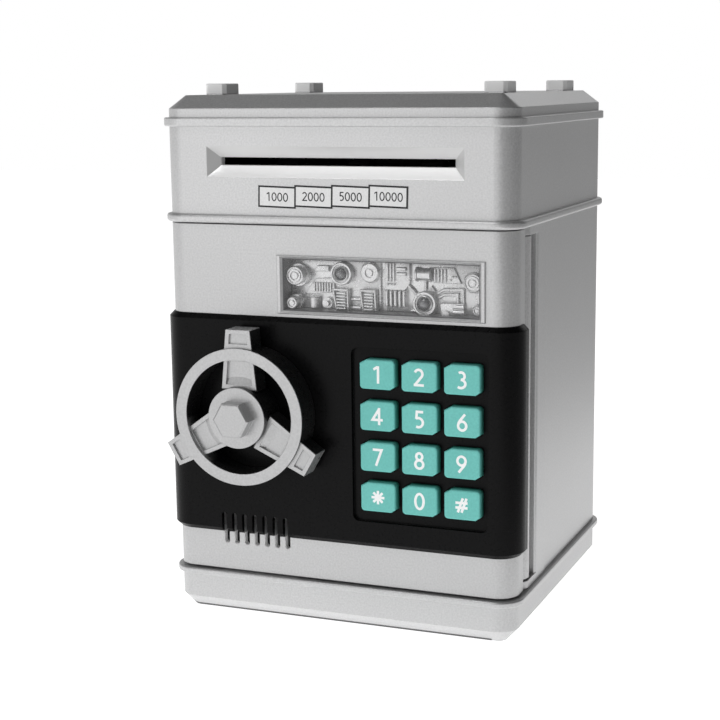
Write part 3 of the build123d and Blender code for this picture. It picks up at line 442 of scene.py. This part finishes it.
def chromed_plastic():
    """Satin plating, a little uneven."""
    paint = Paint("chromed_plastic", Metallic=0.75)
    grain = paint.fill(paint.noise(400, 2))
    paint.feed("Base Color", paint.mix(grain, (0.57, 0.57, 0.575), (0.62, 0.62, 0.625)))
    paint.feed("Roughness", paint.spread(grain, 0.0, 1.0, 0.26, 0.30))
    return paint.material


def clear_plastic():
    """Thin clear sheet with faint haze."""
    paint = Paint("clear_plastic", Base_Color=(1, 1, 1, 1), IOR=1.45)
    haze = paint.noise(60, 3)
    paint.feed("Alpha", paint.spread(haze, 0.35, 0.65, 0.03, 0.07))
    paint.feed("Roughness", paint.spread(haze, 0.35, 0.65, 0.03, 0.08))
    return paint.material


def smoked_lamp():
    """Dark clear resin, with a painted highlight that pales it towards each lamp's middle."""
    paint = Paint("smoked_lamp", Coat_Weight=1.0, Coat_Roughness=0.03)
    x, _, z = paint.axes(paint.place)
    # Painted highlight: paler colour within about 2 mm of each lamp's centre.
    centre_highlight = 0.0
    for low, high in LAMPS:
        across = paint.math("SUBTRACT", x, (low.x + high.x) / 2)
        up = paint.math("SUBTRACT", z, (low.z + high.z) / 2)
        centre_highlight = paint.either(centre_highlight, paint.spread(paint.length(across, up), 0.4 * MM, 2.0 * MM, 1.0, 0.0))
    fleck = paint.fill(paint.noise(500, 2), 0.0, 0.2)
    pale = paint.math("ADD", centre_highlight, fleck)
    paint.feed("Base Color", paint.mix(pale, (0.022, 0.023, 0.026), (0.13, 0.13, 0.14)))
    paint.feed("Roughness", paint.spread(fleck, 0.0, 0.2, 0.1, 0.16))
    return paint.material


def steel():
    """Zinc-plated steel with fine drawn lines along Y."""
    paint = Paint("steel", Metallic=1.0)
    lines = paint.noise(2200, 2, (1, 0.05, 1))
    paint.feed("Base Color", paint.mix(paint.fill(lines), (0.48, 0.47, 0.45), (0.62, 0.61, 0.60)))
    paint.feed("Roughness", paint.fill(lines, 0.24, 0.38))
    paint.bump(lines, 0.006 * MM, 0.5, 0.12 * MM)
    return paint.material


def soft_rubber():
    paint = Paint("soft_rubber", Specular_IOR_Level=0.3)
    paint.feed("Base Color", grainy(paint, (0.018, 0.018, 0.019), (0.03, 0.03, 0.031), 2600, 0.82, 0.25 * MM))
    return paint.material


def circuit_board():
    """Green board with paler tracks; what stands on its top is black."""
    paint = Paint("circuit_board")
    weave = paint.noise(350, 1, (1, 0.12, 1))
    tracks = paint.above(weave, 0.55)
    green = paint.mix(tracks, (0.015, 0.10, 0.035), (0.03, 0.19, 0.07))
    parts = paint.above(paint.axes(paint.place)[2], BOARD_TOP)
    paint.feed("Base Color", paint.mix(parts, green, (0.012, 0.012, 0.013)))
    paint.feed("Roughness", paint.fill(weave, 0.25, 0.4))
    paint.bump(tracks, 0.03 * MM, 0.6, 0.15 * MM)
    return paint.material


def cell_case():
    """Dark printed sleeve with a coppery band and bright steel ends."""
    paint = Paint("cell_case")
    low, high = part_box("batteries")
    middle = (low.y + high.y) / 2
    y = paint.axes(paint.place)[1]
    end = paint.above(paint.apart(y, middle), CELL_END)
    band = paint.above(y, middle + CELL_BAND)
    fleck = paint.noise(900, 2)
    sleeve = paint.mix(paint.fill(fleck), (0.012, 0.012, 0.014), (0.02, 0.02, 0.024))
    sleeve = paint.mix(band, sleeve, (0.45, 0.21, 0.07))
    paint.feed("Base Color", paint.mix(end, sleeve, (0.62, 0.62, 0.62)))
    paint.feed("Metallic", paint.either(end, paint.times(band, 0.8)))
    paint.feed("Roughness", paint.fill(fleck, 0.24, 0.34))
    return paint.material


def print_label():
    paint = Paint("print_label", Metallic=0.35)
    colour = grainy(paint, (0.66, 0.66, 0.66), (0.76, 0.76, 0.76), SILVER_GRAIN, 0.4, 0.0)
    paint.feed("Base Color", colour)
    return paint.material


def gear_nylon():
    paint = Paint("gear_nylon", Subsurface_Weight=0.15, Subsurface_Scale=1.0 * MM)
    colour = grainy(paint, (0.66, 0.64, 0.58), (0.74, 0.72, 0.67), 600, 0.45, 0.1 * MM, 0.006 * MM)
    paint.feed("Base Color", colour)
    return paint.material


def ink(name, dark, light):
    """Printed ink, a little uneven."""
    paint = Paint(name, Specular_IOR_Level=0.3)
    fleck = paint.noise(2500, 2)
    paint.feed("Base Color", paint.mix(paint.fill(fleck), dark, light))
    paint.feed("Roughness", paint.fill(fleck, 0.42, 0.55))
    return paint.material


# The look of each material slot, and of the nodes that have more than one colour.
materials = {
    "silver_paint": silver_paint(), "black_plastic": black_plastic(), "wheel_silver": wheel_silver(),
    "key_teal": key_teal(), "chromed_plastic": chromed_plastic(), "clear_plastic": clear_plastic(),
    "smoked_lamp": smoked_lamp(), "steel": steel(), "soft_rubber": soft_rubber(),
    "circuit_board": circuit_board(), "cell_case": cell_case(), "print_label": print_label(),
    "gear_nylon": gear_nylon(),
}
special = {
    "cabinet_shell": shell_paint("case_paint", CASE_SKIN),
    "upper_housing": housing_paint(),
    "base_tray": shell_paint("tray_paint", HOUSING_SKIN),
    "wheel_body": wheel_black(),
    "door_inner_cover": hinge_plate(),
    "window_frame": frame_paint(),
    "top_cover": lid_paint(),
    "door_shell": door_paint(),
}


def paint_nodes():
    """Every node takes its own material, or that of its slot in the record."""
    slots = {part["node"]: part["material_slot"] for part in frame["record"]["subparts"]}
    for node, thing in frame["nodes"].items():
        thing.data.materials.clear()
        thing.data.materials.append(special.get(node, materials[slots[node]]))


# ---- mesh building --------------------------------------------------------------
class Mesh:
    """One mesh being built, in metres in the row frame; -Y is the front."""

    def __init__(self):
        self.bm = bmesh.new()

    def prism(self, outline, front, back, soften=0.0):
        """Outline of (x, z) points, from front to back along Y, with its front edges softened."""
        near = [self.bm.verts.new((x, front, z)) for x, z in outline]
        far = [self.bm.verts.new((x, back, z)) for x, z in outline]
        face = self.bm.faces.new(near)
        self.bm.faces.new(far[::-1])
        count = len(outline)
        for i in range(count):
            j = (i + 1) % count
            self.bm.faces.new((near[i], far[i], far[j], near[j]))
        if soften:
            edges = list(face.edges)
            bmesh.ops.bevel(self.bm, geom=edges, offset=soften, segments=2, affect="EDGES", profile=0.5)

    def box(self, x, z, front, back, soften=0.0):
        outline = ((x[0], z[0]), (x[1], z[0]), (x[1], z[1]), (x[0], z[1]))
        self.prism(outline, front, back, soften)

    def turned(self, centre, profile, axis="y", steps=40):
        """Profile of (radius, distance along the axis) turned round; radius 0 closes it."""
        rings = []
        for radius, along in profile:
            if radius == 0:
                rings.append([self.bm.verts.new(turn_point(centre, 0, 0, along, axis))])
                continue
            rings.append([self.bm.verts.new(turn_point(centre, radius, 2 * pi * i / steps, along, axis))
                          for i in range(steps)])
        for low, high in zip(rings, rings[1:]):
            for i in range(steps):
                j = (i + 1) % steps
                corners = [low[i % len(low)], low[j % len(low)], high[j % len(high)], high[i % len(high)]]
                self.bm.faces.new(list(dict.fromkeys(corners)))

    def sweep(self, path, section, y, closed=False):
        """Section of (aside, along Y) points carried along a flat path of (x, z), with mitred corners."""
        points = [Vector(p) for p in path]
        rings = []
        for i, point in enumerate(points):
            before = points[i - 1] if i or closed else None
            after = points[(i + 1) % len(points)] if i + 1 < len(points) or closed else None
            first = (point - before).normalized() if before else (after - point).normalized()
            second = (after - point).normalized() if after else first
            heading = (first + second).normalized()
            aside = Vector((-heading.y, heading.x)) / max(heading.dot(first), 0.4)
            rings.append([self.bm.verts.new((point.x + aside.x * a, y + b, point.y + aside.y * a))
                          for a, b in section])
        pairs = list(zip(rings, rings[1:]))
        if closed:
            pairs.append((rings[-1], rings[0]))
        else:
            self.bm.faces.new(rings[0][::-1])
            self.bm.faces.new(rings[-1])
        count = len(section)
        for low, high in pairs:
            for i in range(count):
                j = (i + 1) % count
                self.bm.faces.new((low[i], low[j], high[j], high[i]))

    def finish(self, name, body, slot, material=None, smooth=None):
        """Makes the object, shades it smooth below the given angle, and lets it ride on its body."""
        bmesh.ops.recalc_face_normals(self.bm, faces=self.bm.faces)
        data = bpy.data.meshes.new(name)
        self.bm.to_mesh(data)
        self.bm.free()
        data.materials.append(material or materials[slot])
        if smooth is not None:
            for polygon in data.polygons:
                polygon.use_smooth = True
            data.set_sharp_from_angle(angle=radians(smooth))
        piece = bpy.data.objects.new(name, data)
        bpy.context.collection.objects.link(piece)
        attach(piece, body)
        return piece


def turn_point(centre, radius, angle, along, axis):
    a = radius * cos(angle)
    b = radius * sin(angle)
    shift = {"x": (along, a, b), "y": (a, along, b), "z": (a, b, along)}[axis]
    return Vector(centre) + Vector(shift)


def arc(x, z, rx, rz, start, stop, step=15):
    """Points along an elliptical arc between two angles in degrees."""
    count = max(2, round(abs(stop - start) / step))
    angles = [radians(start + (stop - start) * i / count) for i in range(count + 1)]
    return [(x + rx * cos(a), z + rz * sin(a)) for a in angles]


def loop(x, z, rx, rz):
    return arc(x, z, rx, rz, 0, 345)


# ---- printed figures -----------------------------------------------------------
# Each figure is a list of (path, closed) strokes in a box one unit high, centred on x = 0.
FIGURES = {
    "0": [(loop(0, 0.5, 0.25, 0.44), True)],
    "1": [([(-0.2, 0.80), (0.04, 0.95)], False), ([(0.08, 1.0), (0.08, 0.0)], False)],
    "2": [(arc(-0.01, 0.70, 0.23, 0.24, 160, -38) + [(-0.24, 0.06)], False),
          ([(-0.31, 0.06), (0.30, 0.06)], False)],
    "3": [(arc(-0.04, 0.73, 0.21, 0.21, 130, -90), False), (arc(-0.06, 0.29, 0.27, 0.235, 90, -130), False)],
    "4": [([(0.34, 0.30), (-0.28, 0.30), (0.12, 0.93)], False), ([(0.12, 1.0), (0.12, 0.0)], False)],
    "5": [([(0.25, 0.94), (-0.13, 0.94), (-0.165, 0.52)], False),
          (arc(-0.04, 0.32, 0.27, 0.265, 122, -120), False)],
    "6": [([(0.19, 0.98), (-0.10, 0.62), (-0.21, 0.44)], False), (loop(0.02, 0.31, 0.24, 0.255), True)],
    "7": [([(-0.29, 0.94), (0.25, 0.94), (-0.10, 0.0)], False)],
    "8": [(loop(0, 0.74, 0.18, 0.20), True), (loop(0, 0.29, 0.24, 0.24), True)],
    "9": [([(-0.19, 0.02), (0.10, 0.38), (0.21, 0.56)], False), (loop(-0.02, 0.69, 0.24, 0.255), True)],
    "star": [([(-0.40 * cos(a), 0.5 - 0.40 * sin(a)), (0.40 * cos(a), 0.5 + 0.40 * sin(a))], False)
             for a in (0, pi / 4, pi / 2, 3 * pi / 4)],
    "hash": [([(-0.24 + s, 0.08), (0.06 + s, 0.92)], False) for s in (0.0, 0.22)]
            + [([(-0.38, z), (0.34, z)], False) for z in (0.36, 0.64)],
}


def draw_figure(mesh, figure, centre, height, stroke, y, proud):
    """One figure as thin raised strokes; each stroke stands a hair above the one before."""
    half = stroke / 2
    for index, (path, closed) in enumerate(FIGURES[figure]):
        lift = proud + STROKE_STEP * index
        section = ((-half, -lift), (half, -lift), (half, PRINT_SUNK), (-half, PRINT_SUNK))
        points = [(centre[0] + x * height, centre[1] + (z - 0.5) * height) for x, z in path]
        mesh.sweep(points, section, y, closed)


def key_legends():
    white = ink("legend_ink", (0.97, 0.98, 0.98), (1.0, 1.0, 1.0))
    for key in KEYS:
        low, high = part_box(f"key_{key}")
        centre = ((low.x + high.x) / 2, (low.z + high.z) / 2)
        mesh = Mesh()
        draw_figure(mesh, key, centre, LEGEND_H, LEGEND_STROKE, low.y, LEGEND_PROUD)
        mesh.finish(f"legend_{key}", f"key_{key}", "key_teal", white)


def plate_outline(mesh, x, z, lift):
    """Closed line along the edge of one tilted label plate."""
    half_w = PLATE[0] / 2 - PLATE_LINE
    half_h = PLATE[1] / 2 - PLATE_LINE
    c, s = cos(PLATE_TILT), sin(PLATE_TILT)
    corners = ((-half_w, -half_h), (half_w, -half_h), (half_w, half_h), (-half_w, half_h))
    turned = [(x + a * c - b * s, z + a * s + b * c) for a, b in corners]
    sunk = 0.01 * MM
    section = ((-PLATE_LINE, -lift), (PLATE_LINE, -lift), (PLATE_LINE, sunk), (-PLATE_LINE, sunk))
    mesh.sweep(turned, section, label_low.y, True)


def denomination_print():
    """Black outline and generic figures on each of the four label plates."""
    black = ink("label_ink", (0.012, 0.012, 0.013), (0.03, 0.03, 0.032))
    middle_x = (label_low.x + label_high.x) / 2
    middle_z = (label_low.z + label_high.z) / 2
    frames = Mesh()
    figures = Mesh()
    for index, text in enumerate(DENOMINATIONS):
        x = middle_x + PLATE_PITCH * (index - 1.5)
        z = middle_z + PLATE_STEP * (index - 1.5)
        plate_outline(frames, x, z, (0.03 + 0.01 * index) * MM)
        for place, figure in enumerate(text):
            offset = (place - (len(text) - 1) / 2) * PRINT_ADVANCE
            centre = (x + offset, z - offset * PRINT_SLOPE)
            draw_figure(figures, figure, centre, PRINT_H, PRINT_STROKE, label_low.y, PRINT_PROUD)
    frames.finish("label_outlines", "cabinet", "print_label", black)
    figures.finish("label_figures", "cabinet", "print_label", black)


# ---- relief behind the window ---------------------------------------------------
# Places on the relief are millimetres across and up from the window's middle, and heights are
# millimetres forward from FLOOR, the front of its back plate.
RELIEF_T = 1.4 * MM
FLOOR = relief_back - RELIEF_T
FLOOR_SUNK = 0.2 * MM
RELIEF_PLAY = 0.05 * MM
FIELD_H = 0.9
RIM_H = 4.0
# Place, radius, height and grooves of each round button, and place, radius and height of each flange.
BUTTONS = ((-32.7, 3.0, 3.35, 5.8, (0.74, 0.42)), (-34.0, -6.7, 2.1, 5.8, (0.55,)),
           (-5.5, 4.6, 3.4, 2.6, (0.42,)), (32.4, 2.4, 3.3, 2.8, (0.76, 0.42)),
           (34.0, -7.1, 1.7, 2.8, (0.5,)))
FLANGES = ((-32.7, 3.0, 4.2, 2.6), (-34.0, -6.7, 2.9, 2.4), (-5.5, 4.6, 3.75, 1.4), (32.4, 2.4, 3.65, 1.6))
# Profile of a lamp's ring: distance out from the lamp's edge, and forward from the lamp's back.
LAMP_RING = ((1.6, 2.9), (1.3, 3.4), (0.8, 3.4), (0.6, 2.7), (0.35, 2.7), (0.2, 3.6), (-0.1, 3.75),
             (-0.3, 3.5), (0.12, 2.6), (0.12, 0.3))
PIPE_RUNS = (((19.6, -1.7), (21.7, -0.4), (28.8, -0.2), (28.8, -5.0)),
             ((19.9, -3.2), (21.9, -2.1), (26.8, -1.9), (26.8, -5.0)),
             ((15.0, 2.4), (15.0, -0.6)), ((8.2, 1.2), (11.6, -2.2)), ((17.0, 0.6), (18.4, -1.2)),
             ((9.6, -8.2), (11.4, -8.2)))
PIPE_R = 0.6
PIPE_H = 1.4


def at(u, w):
    """The (x, z) of a place on the relief."""
    return (WINDOW.x + u * MM, WINDOW.z + w * MM)


class Relief(Mesh):
    """The relief behind the window, with short calls for the kinds of thing that stand on it."""

    def slab(self, corners, height, soften=0.25):
        outline = [at(u, w) for u, w in corners]
        self.prism(outline, FLOOR - height * MM, FLOOR + FLOOR_SUNK, soften * MM)

    def bar(self, u, w, height, soften=0.12):
        """Block between two places across and two places up."""
        self.slab(((u[0], w[0]), (u[1], w[0]), (u[1], w[1]), (u[0], w[1])), height, soften)

    def row(self, count, first, pitch, width, w, height, soften=0.12):
        """Equal upright bars beside each other."""
        for i in range(count):
            left = first + i * pitch
            self.bar((left, left + width), w, height, soften)

    def disc(self, u, w, profile, steps=40):
        """Round thing on the floor, from (radius, height) pairs."""
        x, z = at(u, w)
        self.turned((x, 0, z), [(radius * MM, FLOOR - height * MM) for radius, height in profile], "y", steps)

    def rod(self, u, w, height, profile, axis, steps=40):
        """Round thing lying at a height above the floor, from (radius, distance along it) pairs."""
        x, z = at(u, w)
        profile = [(radius * MM, along * MM) for radius, along in profile]
        self.turned((x, FLOOR - height * MM, z), profile, axis, steps)

    def pin(self, u, w, height, radius, half, axis="x", steps=20):
        """Plain rod with square ends."""
        self.rod(u, w, height, ((0, -half), (radius, -half), (radius, half), (0, half)), axis, steps)


def ringed(radius, height, grooves):
    """Profile of a round button whose front has grooves at the given shares of its radius."""
    profile = [(radius, 0), (radius, height - 0.3), (radius - 0.3, height)]
    for share in grooves:
        groove = radius * share
        profile += [(groove + 0.3, height), (groove + 0.15, height - 0.55),
                    (groove - 0.15, height - 0.55), (groove - 0.3, height)]
    return profile + [(0, height)]


def buttons(relief):
    """Ringed buttons on their flanges."""
    for u, w, radius, height, grooves in BUTTONS:
        relief.disc(u, w, ringed(radius, height, grooves))
    for u, w, radius, height in FLANGES:
        profile = ((radius, 0), (radius, height - 0.2), (radius - 0.2, height), (radius - 1.2, height))
        relief.disc(u, w, profile)


def lamp_rings(relief):
    """Turned ring round each lamp."""
    for low, high in LAMPS:
        radius = (high.x - low.x) / 2
        profile = [(radius + LAMP_RING[0][0] * MM, FLOOR)]
        profile += [(radius + out * MM, high.y - forward * MM) for out, forward in LAMP_RING]
        relief.turned(((low.x + high.x) / 2, 0, (low.z + high.z) / 2), profile)


def left_vents(relief):
    """Nameplate, and a louvred plate below it."""
    relief.slab(((-26.5, 4.4), (-20.8, 4.6), (-20.8, 6.7), (-25.2, 6.6)), 2.8)
    plate = ((-30.4, -3.9), (-18.8, -2.9), (-19.2, 1.9), (-20.0, 2.3), (-26.0, 1.9), (-26.9, 1.2))
    relief.slab(plate, 2.0)
    relief.row(7, -26.7, 1.04, 0.6, (-2.7, 0.7), 3.0)


def ribbed_plate(relief, left, lean):
    """Leaning plate with a rim on three sides and six ribs across it."""
    relief.slab(((left + lean, -8.9), (left + 6.4, -8.8), (left + 6.2, -1.4), (left, -1.4)), 2.2)
    relief.slab(((left + lean, -8.9), (left + lean + 0.8, -8.9), (left + 0.8, -1.4), (left, -1.4)), RIM_H)
    relief.slab(((left + 5.6, -8.8), (left + 6.4, -8.8), (left + 6.2, -1.4), (left + 5.4, -1.4)), RIM_H)
    relief.bar((left + 0.1, left + 6.2), (-1.9, -1.3), RIM_H)
    for i in range(6):
        low = -8.5 + i * 1.08
        relief.bar((left + 1.6, left + 5.1), (low, low + 0.65), RIM_H, 0.15)


def middle_blocks(relief):
    """Cut-off block with bars, and a row of five bars below it."""
    relief.slab(((0.1, -1.2), (7.4, -1.2), (9.4, 1.4), (9.4, 8.6), (0.1, 8.6)), 2.2)
    relief.row(3, 1.1, 1.15, 0.6, (1.9, 8.4), 3.1, 0.1)
    relief.row(3, 1.1, 1.15, 0.65, (0.6, 1.2), 3.3)
    for w in (5.9, 4.1):
        relief.bar((4.9, 8.4), (w, w + 1.1), 3.4, 0.25)
    relief.row(5, 0.4, 1.6, 1.05, (-7.0, -1.2), 2.9, 0.3)


def right_blocks(relief):
    """Sloping plate with ribs and studs, and the box that the pipes end in."""
    relief.slab(((18.0, 1.8), (28.2, 1.9), (25.6, 7.4), (18.0, 7.2)), 2.0)
    relief.row(4, 18.5, 1.25, 0.6, (2.2, 6.9), 2.9, 0.1)
    for u, w in ((24.3, 3.0), (25.2, 4.1), (26.2, 4.2)):
        relief.disc(u, w, ((0.45, 0), (0.45, 2.7), (0, 3.0)), 16)
    relief.slab(((20.8, -8.9), (29.4, -8.9), (29.4, -4.9), (20.8, -4.9)), 3.0)


def barrel(relief):
    """Lying barrel with a raised band at each end."""
    end = ((0, 2.9), (2.3, 2.9), (2.6, 2.7), (2.6, 2.2), (2.15, 2.0))
    profile = [(radius, -along) for radius, along in end] + list(end[::-1])
    relief.rod(14.8, 4.8, 2.3, profile, "x")


def stub_and_bolt(relief):
    """Upright stub with rounded ends, and beside it a hexagon head on its washer."""
    stub = ((0, -2.0), (1.8, -2.0), (2.0, -1.8), (2.0, 1.8), (1.8, 2.0), (0, 2.0))
    relief.rod(-26.7, -6.6, 1.8, stub, "z")
    relief.disc(-21.9, -6.8, ((1.9, 0), (1.9, 2.0), (0, 2.0)))
    relief.disc(-21.9, -6.8, ((1.1, 0), (1.1, 3.3), (0, 3.3)), 6)


def rollers(relief):
    """Two rollers and an arch on the box, and two links between the ribbed plates."""
    for w in (-6.0, -7.8):
        relief.pin(27.6, w, 3.2, 0.75, 2.0)
    relief.pin(22.8, -8.7, 2.4, 1.3, 1.3, "y", 24)
    for w in (-5.0, -8.0):
        relief.pin(-10.9, w, 1.6, 0.7, 1.8)


def pipes(relief):
    """Round pipes that run flat on the plate, with mitred bends."""
    section = [(x * MM, z * MM) for x, z in arc(0, 0, PIPE_R, PIPE_R, 0, 360, 360 / 14)[:-1]]
    for run in PIPE_RUNS:
        relief.sweep([at(u, w) for u, w in run], section, FLOOR - PIPE_H * MM)


def window_display():
    """The whole relief: back plate and everything on it, in place of the plain CAD plate."""
    relief = Relief()
    half_w = WINDOW_W / 2 - RELIEF_PLAY
    half_h = WINDOW_H / 2 - RELIEF_PLAY
    relief.box((WINDOW.x - half_w, WINDOW.x + half_w), (WINDOW.z - half_h, WINDOW.z + half_h),
               FLOOR, relief_back)
    buttons(relief)
    lamp_rings(relief)
    for u in ((-36.1, -1.7), (0.1, 36.1)):
        relief.bar(u, (-8.9, 8.9), FIELD_H, 0.3)
    left_vents(relief)
    ribbed_plate(relief, -19.2, 1.2)
    ribbed_plate(relief, -8.8, 0.9)
    middle_blocks(relief)
    right_blocks(relief)
    barrel(relief)
    stub_and_bolt(relief)
    rollers(relief)
    pipes(relief)
    piece = relief.finish("window_display", "door", "chromed_plastic", smooth=35)
    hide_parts("window_relief")


# ---- stage ----------------------------------------------------------------------
def stage():
    """Wide pale floor that glows a little, and less to the right of the object."""
    data = bpy.data.meshes.new("floor")
    corners = [(FLOOR_HALF * x, FLOOR_HALF * y, 0) for x, y in ((-1, -1), (1, -1), (1, 1), (-1, 1))]
    data.from_pydata(corners, [], [(0, 1, 2, 3)])
    paint = Paint("floor_paint", Roughness=0.9, Specular_IOR_Level=0.1, Emission_Color=(1, 1, 1, 1))
    x, y, _ = paint.axes(paint.place)
    right = paint.math("ADD", x, paint.times(y, 0.12))
    paint.feed("Emission Strength", paint.spread(right, 0.15, 0.24, FLOOR_GLOW, FLOOR_GLOW_RIGHT))
    cloud = paint.fill(paint.noise(3, 1))
    paint.feed("Base Color", paint.mix(cloud, (0.86, 0.86, 0.86), (0.88, 0.88, 0.88)))
    data.materials.append(paint.material)
    plane = bpy.data.objects.new("floor", data)
    bpy.context.collection.objects.link(plane)


def world():
    """White for the camera; as light, dimmer overhead and on the right."""
    place = bpy.data.worlds.new("studio")
    bpy.context.scene.world = place
    place.use_nodes = True
    sky = Nodes(place.node_tree)
    coordinates = sky.nodes.new("ShaderNodeTexCoord")
    x, _, z = sky.axes(coordinates.outputs["Generated"])
    overhead = sky.spread(z, 0.05, 0.7, 0.8, 0.12, "SMOOTHSTEP")
    right = sky.spread(x, -0.25, 0.65, 1.0, 0.16, "SMOOTHSTEP")
    seen = sky.nodes.new("ShaderNodeLightPath").outputs["Is Camera Ray"]
    background = sky.nodes["Background"]
    sky.plug(background, "Strength", sky.either(sky.times(overhead, right), seen))
    sky.plug(background, "Color", (1, 1, 1, 1))


def soft_light(name, place, target, size, power):
    data = bpy.data.lights.new(name, "AREA")
    data.shape = "RECTANGLE"
    data.size, data.size_y = size
    data.energy = power
    lamp = bpy.data.objects.new(name, data)
    lamp.location = place
    lamp.rotation_euler = (Vector(target) - Vector(place)).to_track_quat("-Z", "Y").to_euler()
    bpy.context.collection.objects.link(lamp)


def camera():
    data = bpy.data.cameras.new("camera")
    data.sensor_width = SENSOR
    data.lens = LENS
    data.shift_x, data.shift_y = SHIFT
    data.clip_start = 0.01
    eye = bpy.data.objects.new("camera", data)
    turn = Matrix.Rotation(CAMERA_AZIMUTH, 4, "Z") @ Matrix.Rotation(pi / 2 - CAMERA_ELEVATION, 4, "X")
    eye.matrix_world = Matrix.Translation(CAMERA_PLACE) @ turn @ Matrix.Rotation(CAMERA_ROLL, 4, "Z")
    bpy.context.collection.objects.link(eye)
    bpy.context.scene.camera = eye


paint_nodes()
key_legends()
denomination_print()
window_display()
stage()
world()
soft_light("front_softbox", (-0.6, -1.2, 0.35), (0, 0, 0.09), (0.7, 0.7), 1.2)
soft_light("high_softbox", (-0.27, -0.69, 1.1), (0, 0, 0.16), (0.5, 0.35), 3.2)
soft_light("back_softbox", (0.1, 1.3, 0.75), (0, 0, 0.16), (0.9, 0.4), 0.8)
camera()
bpy.context.scene.view_settings.view_transform = "Standard"
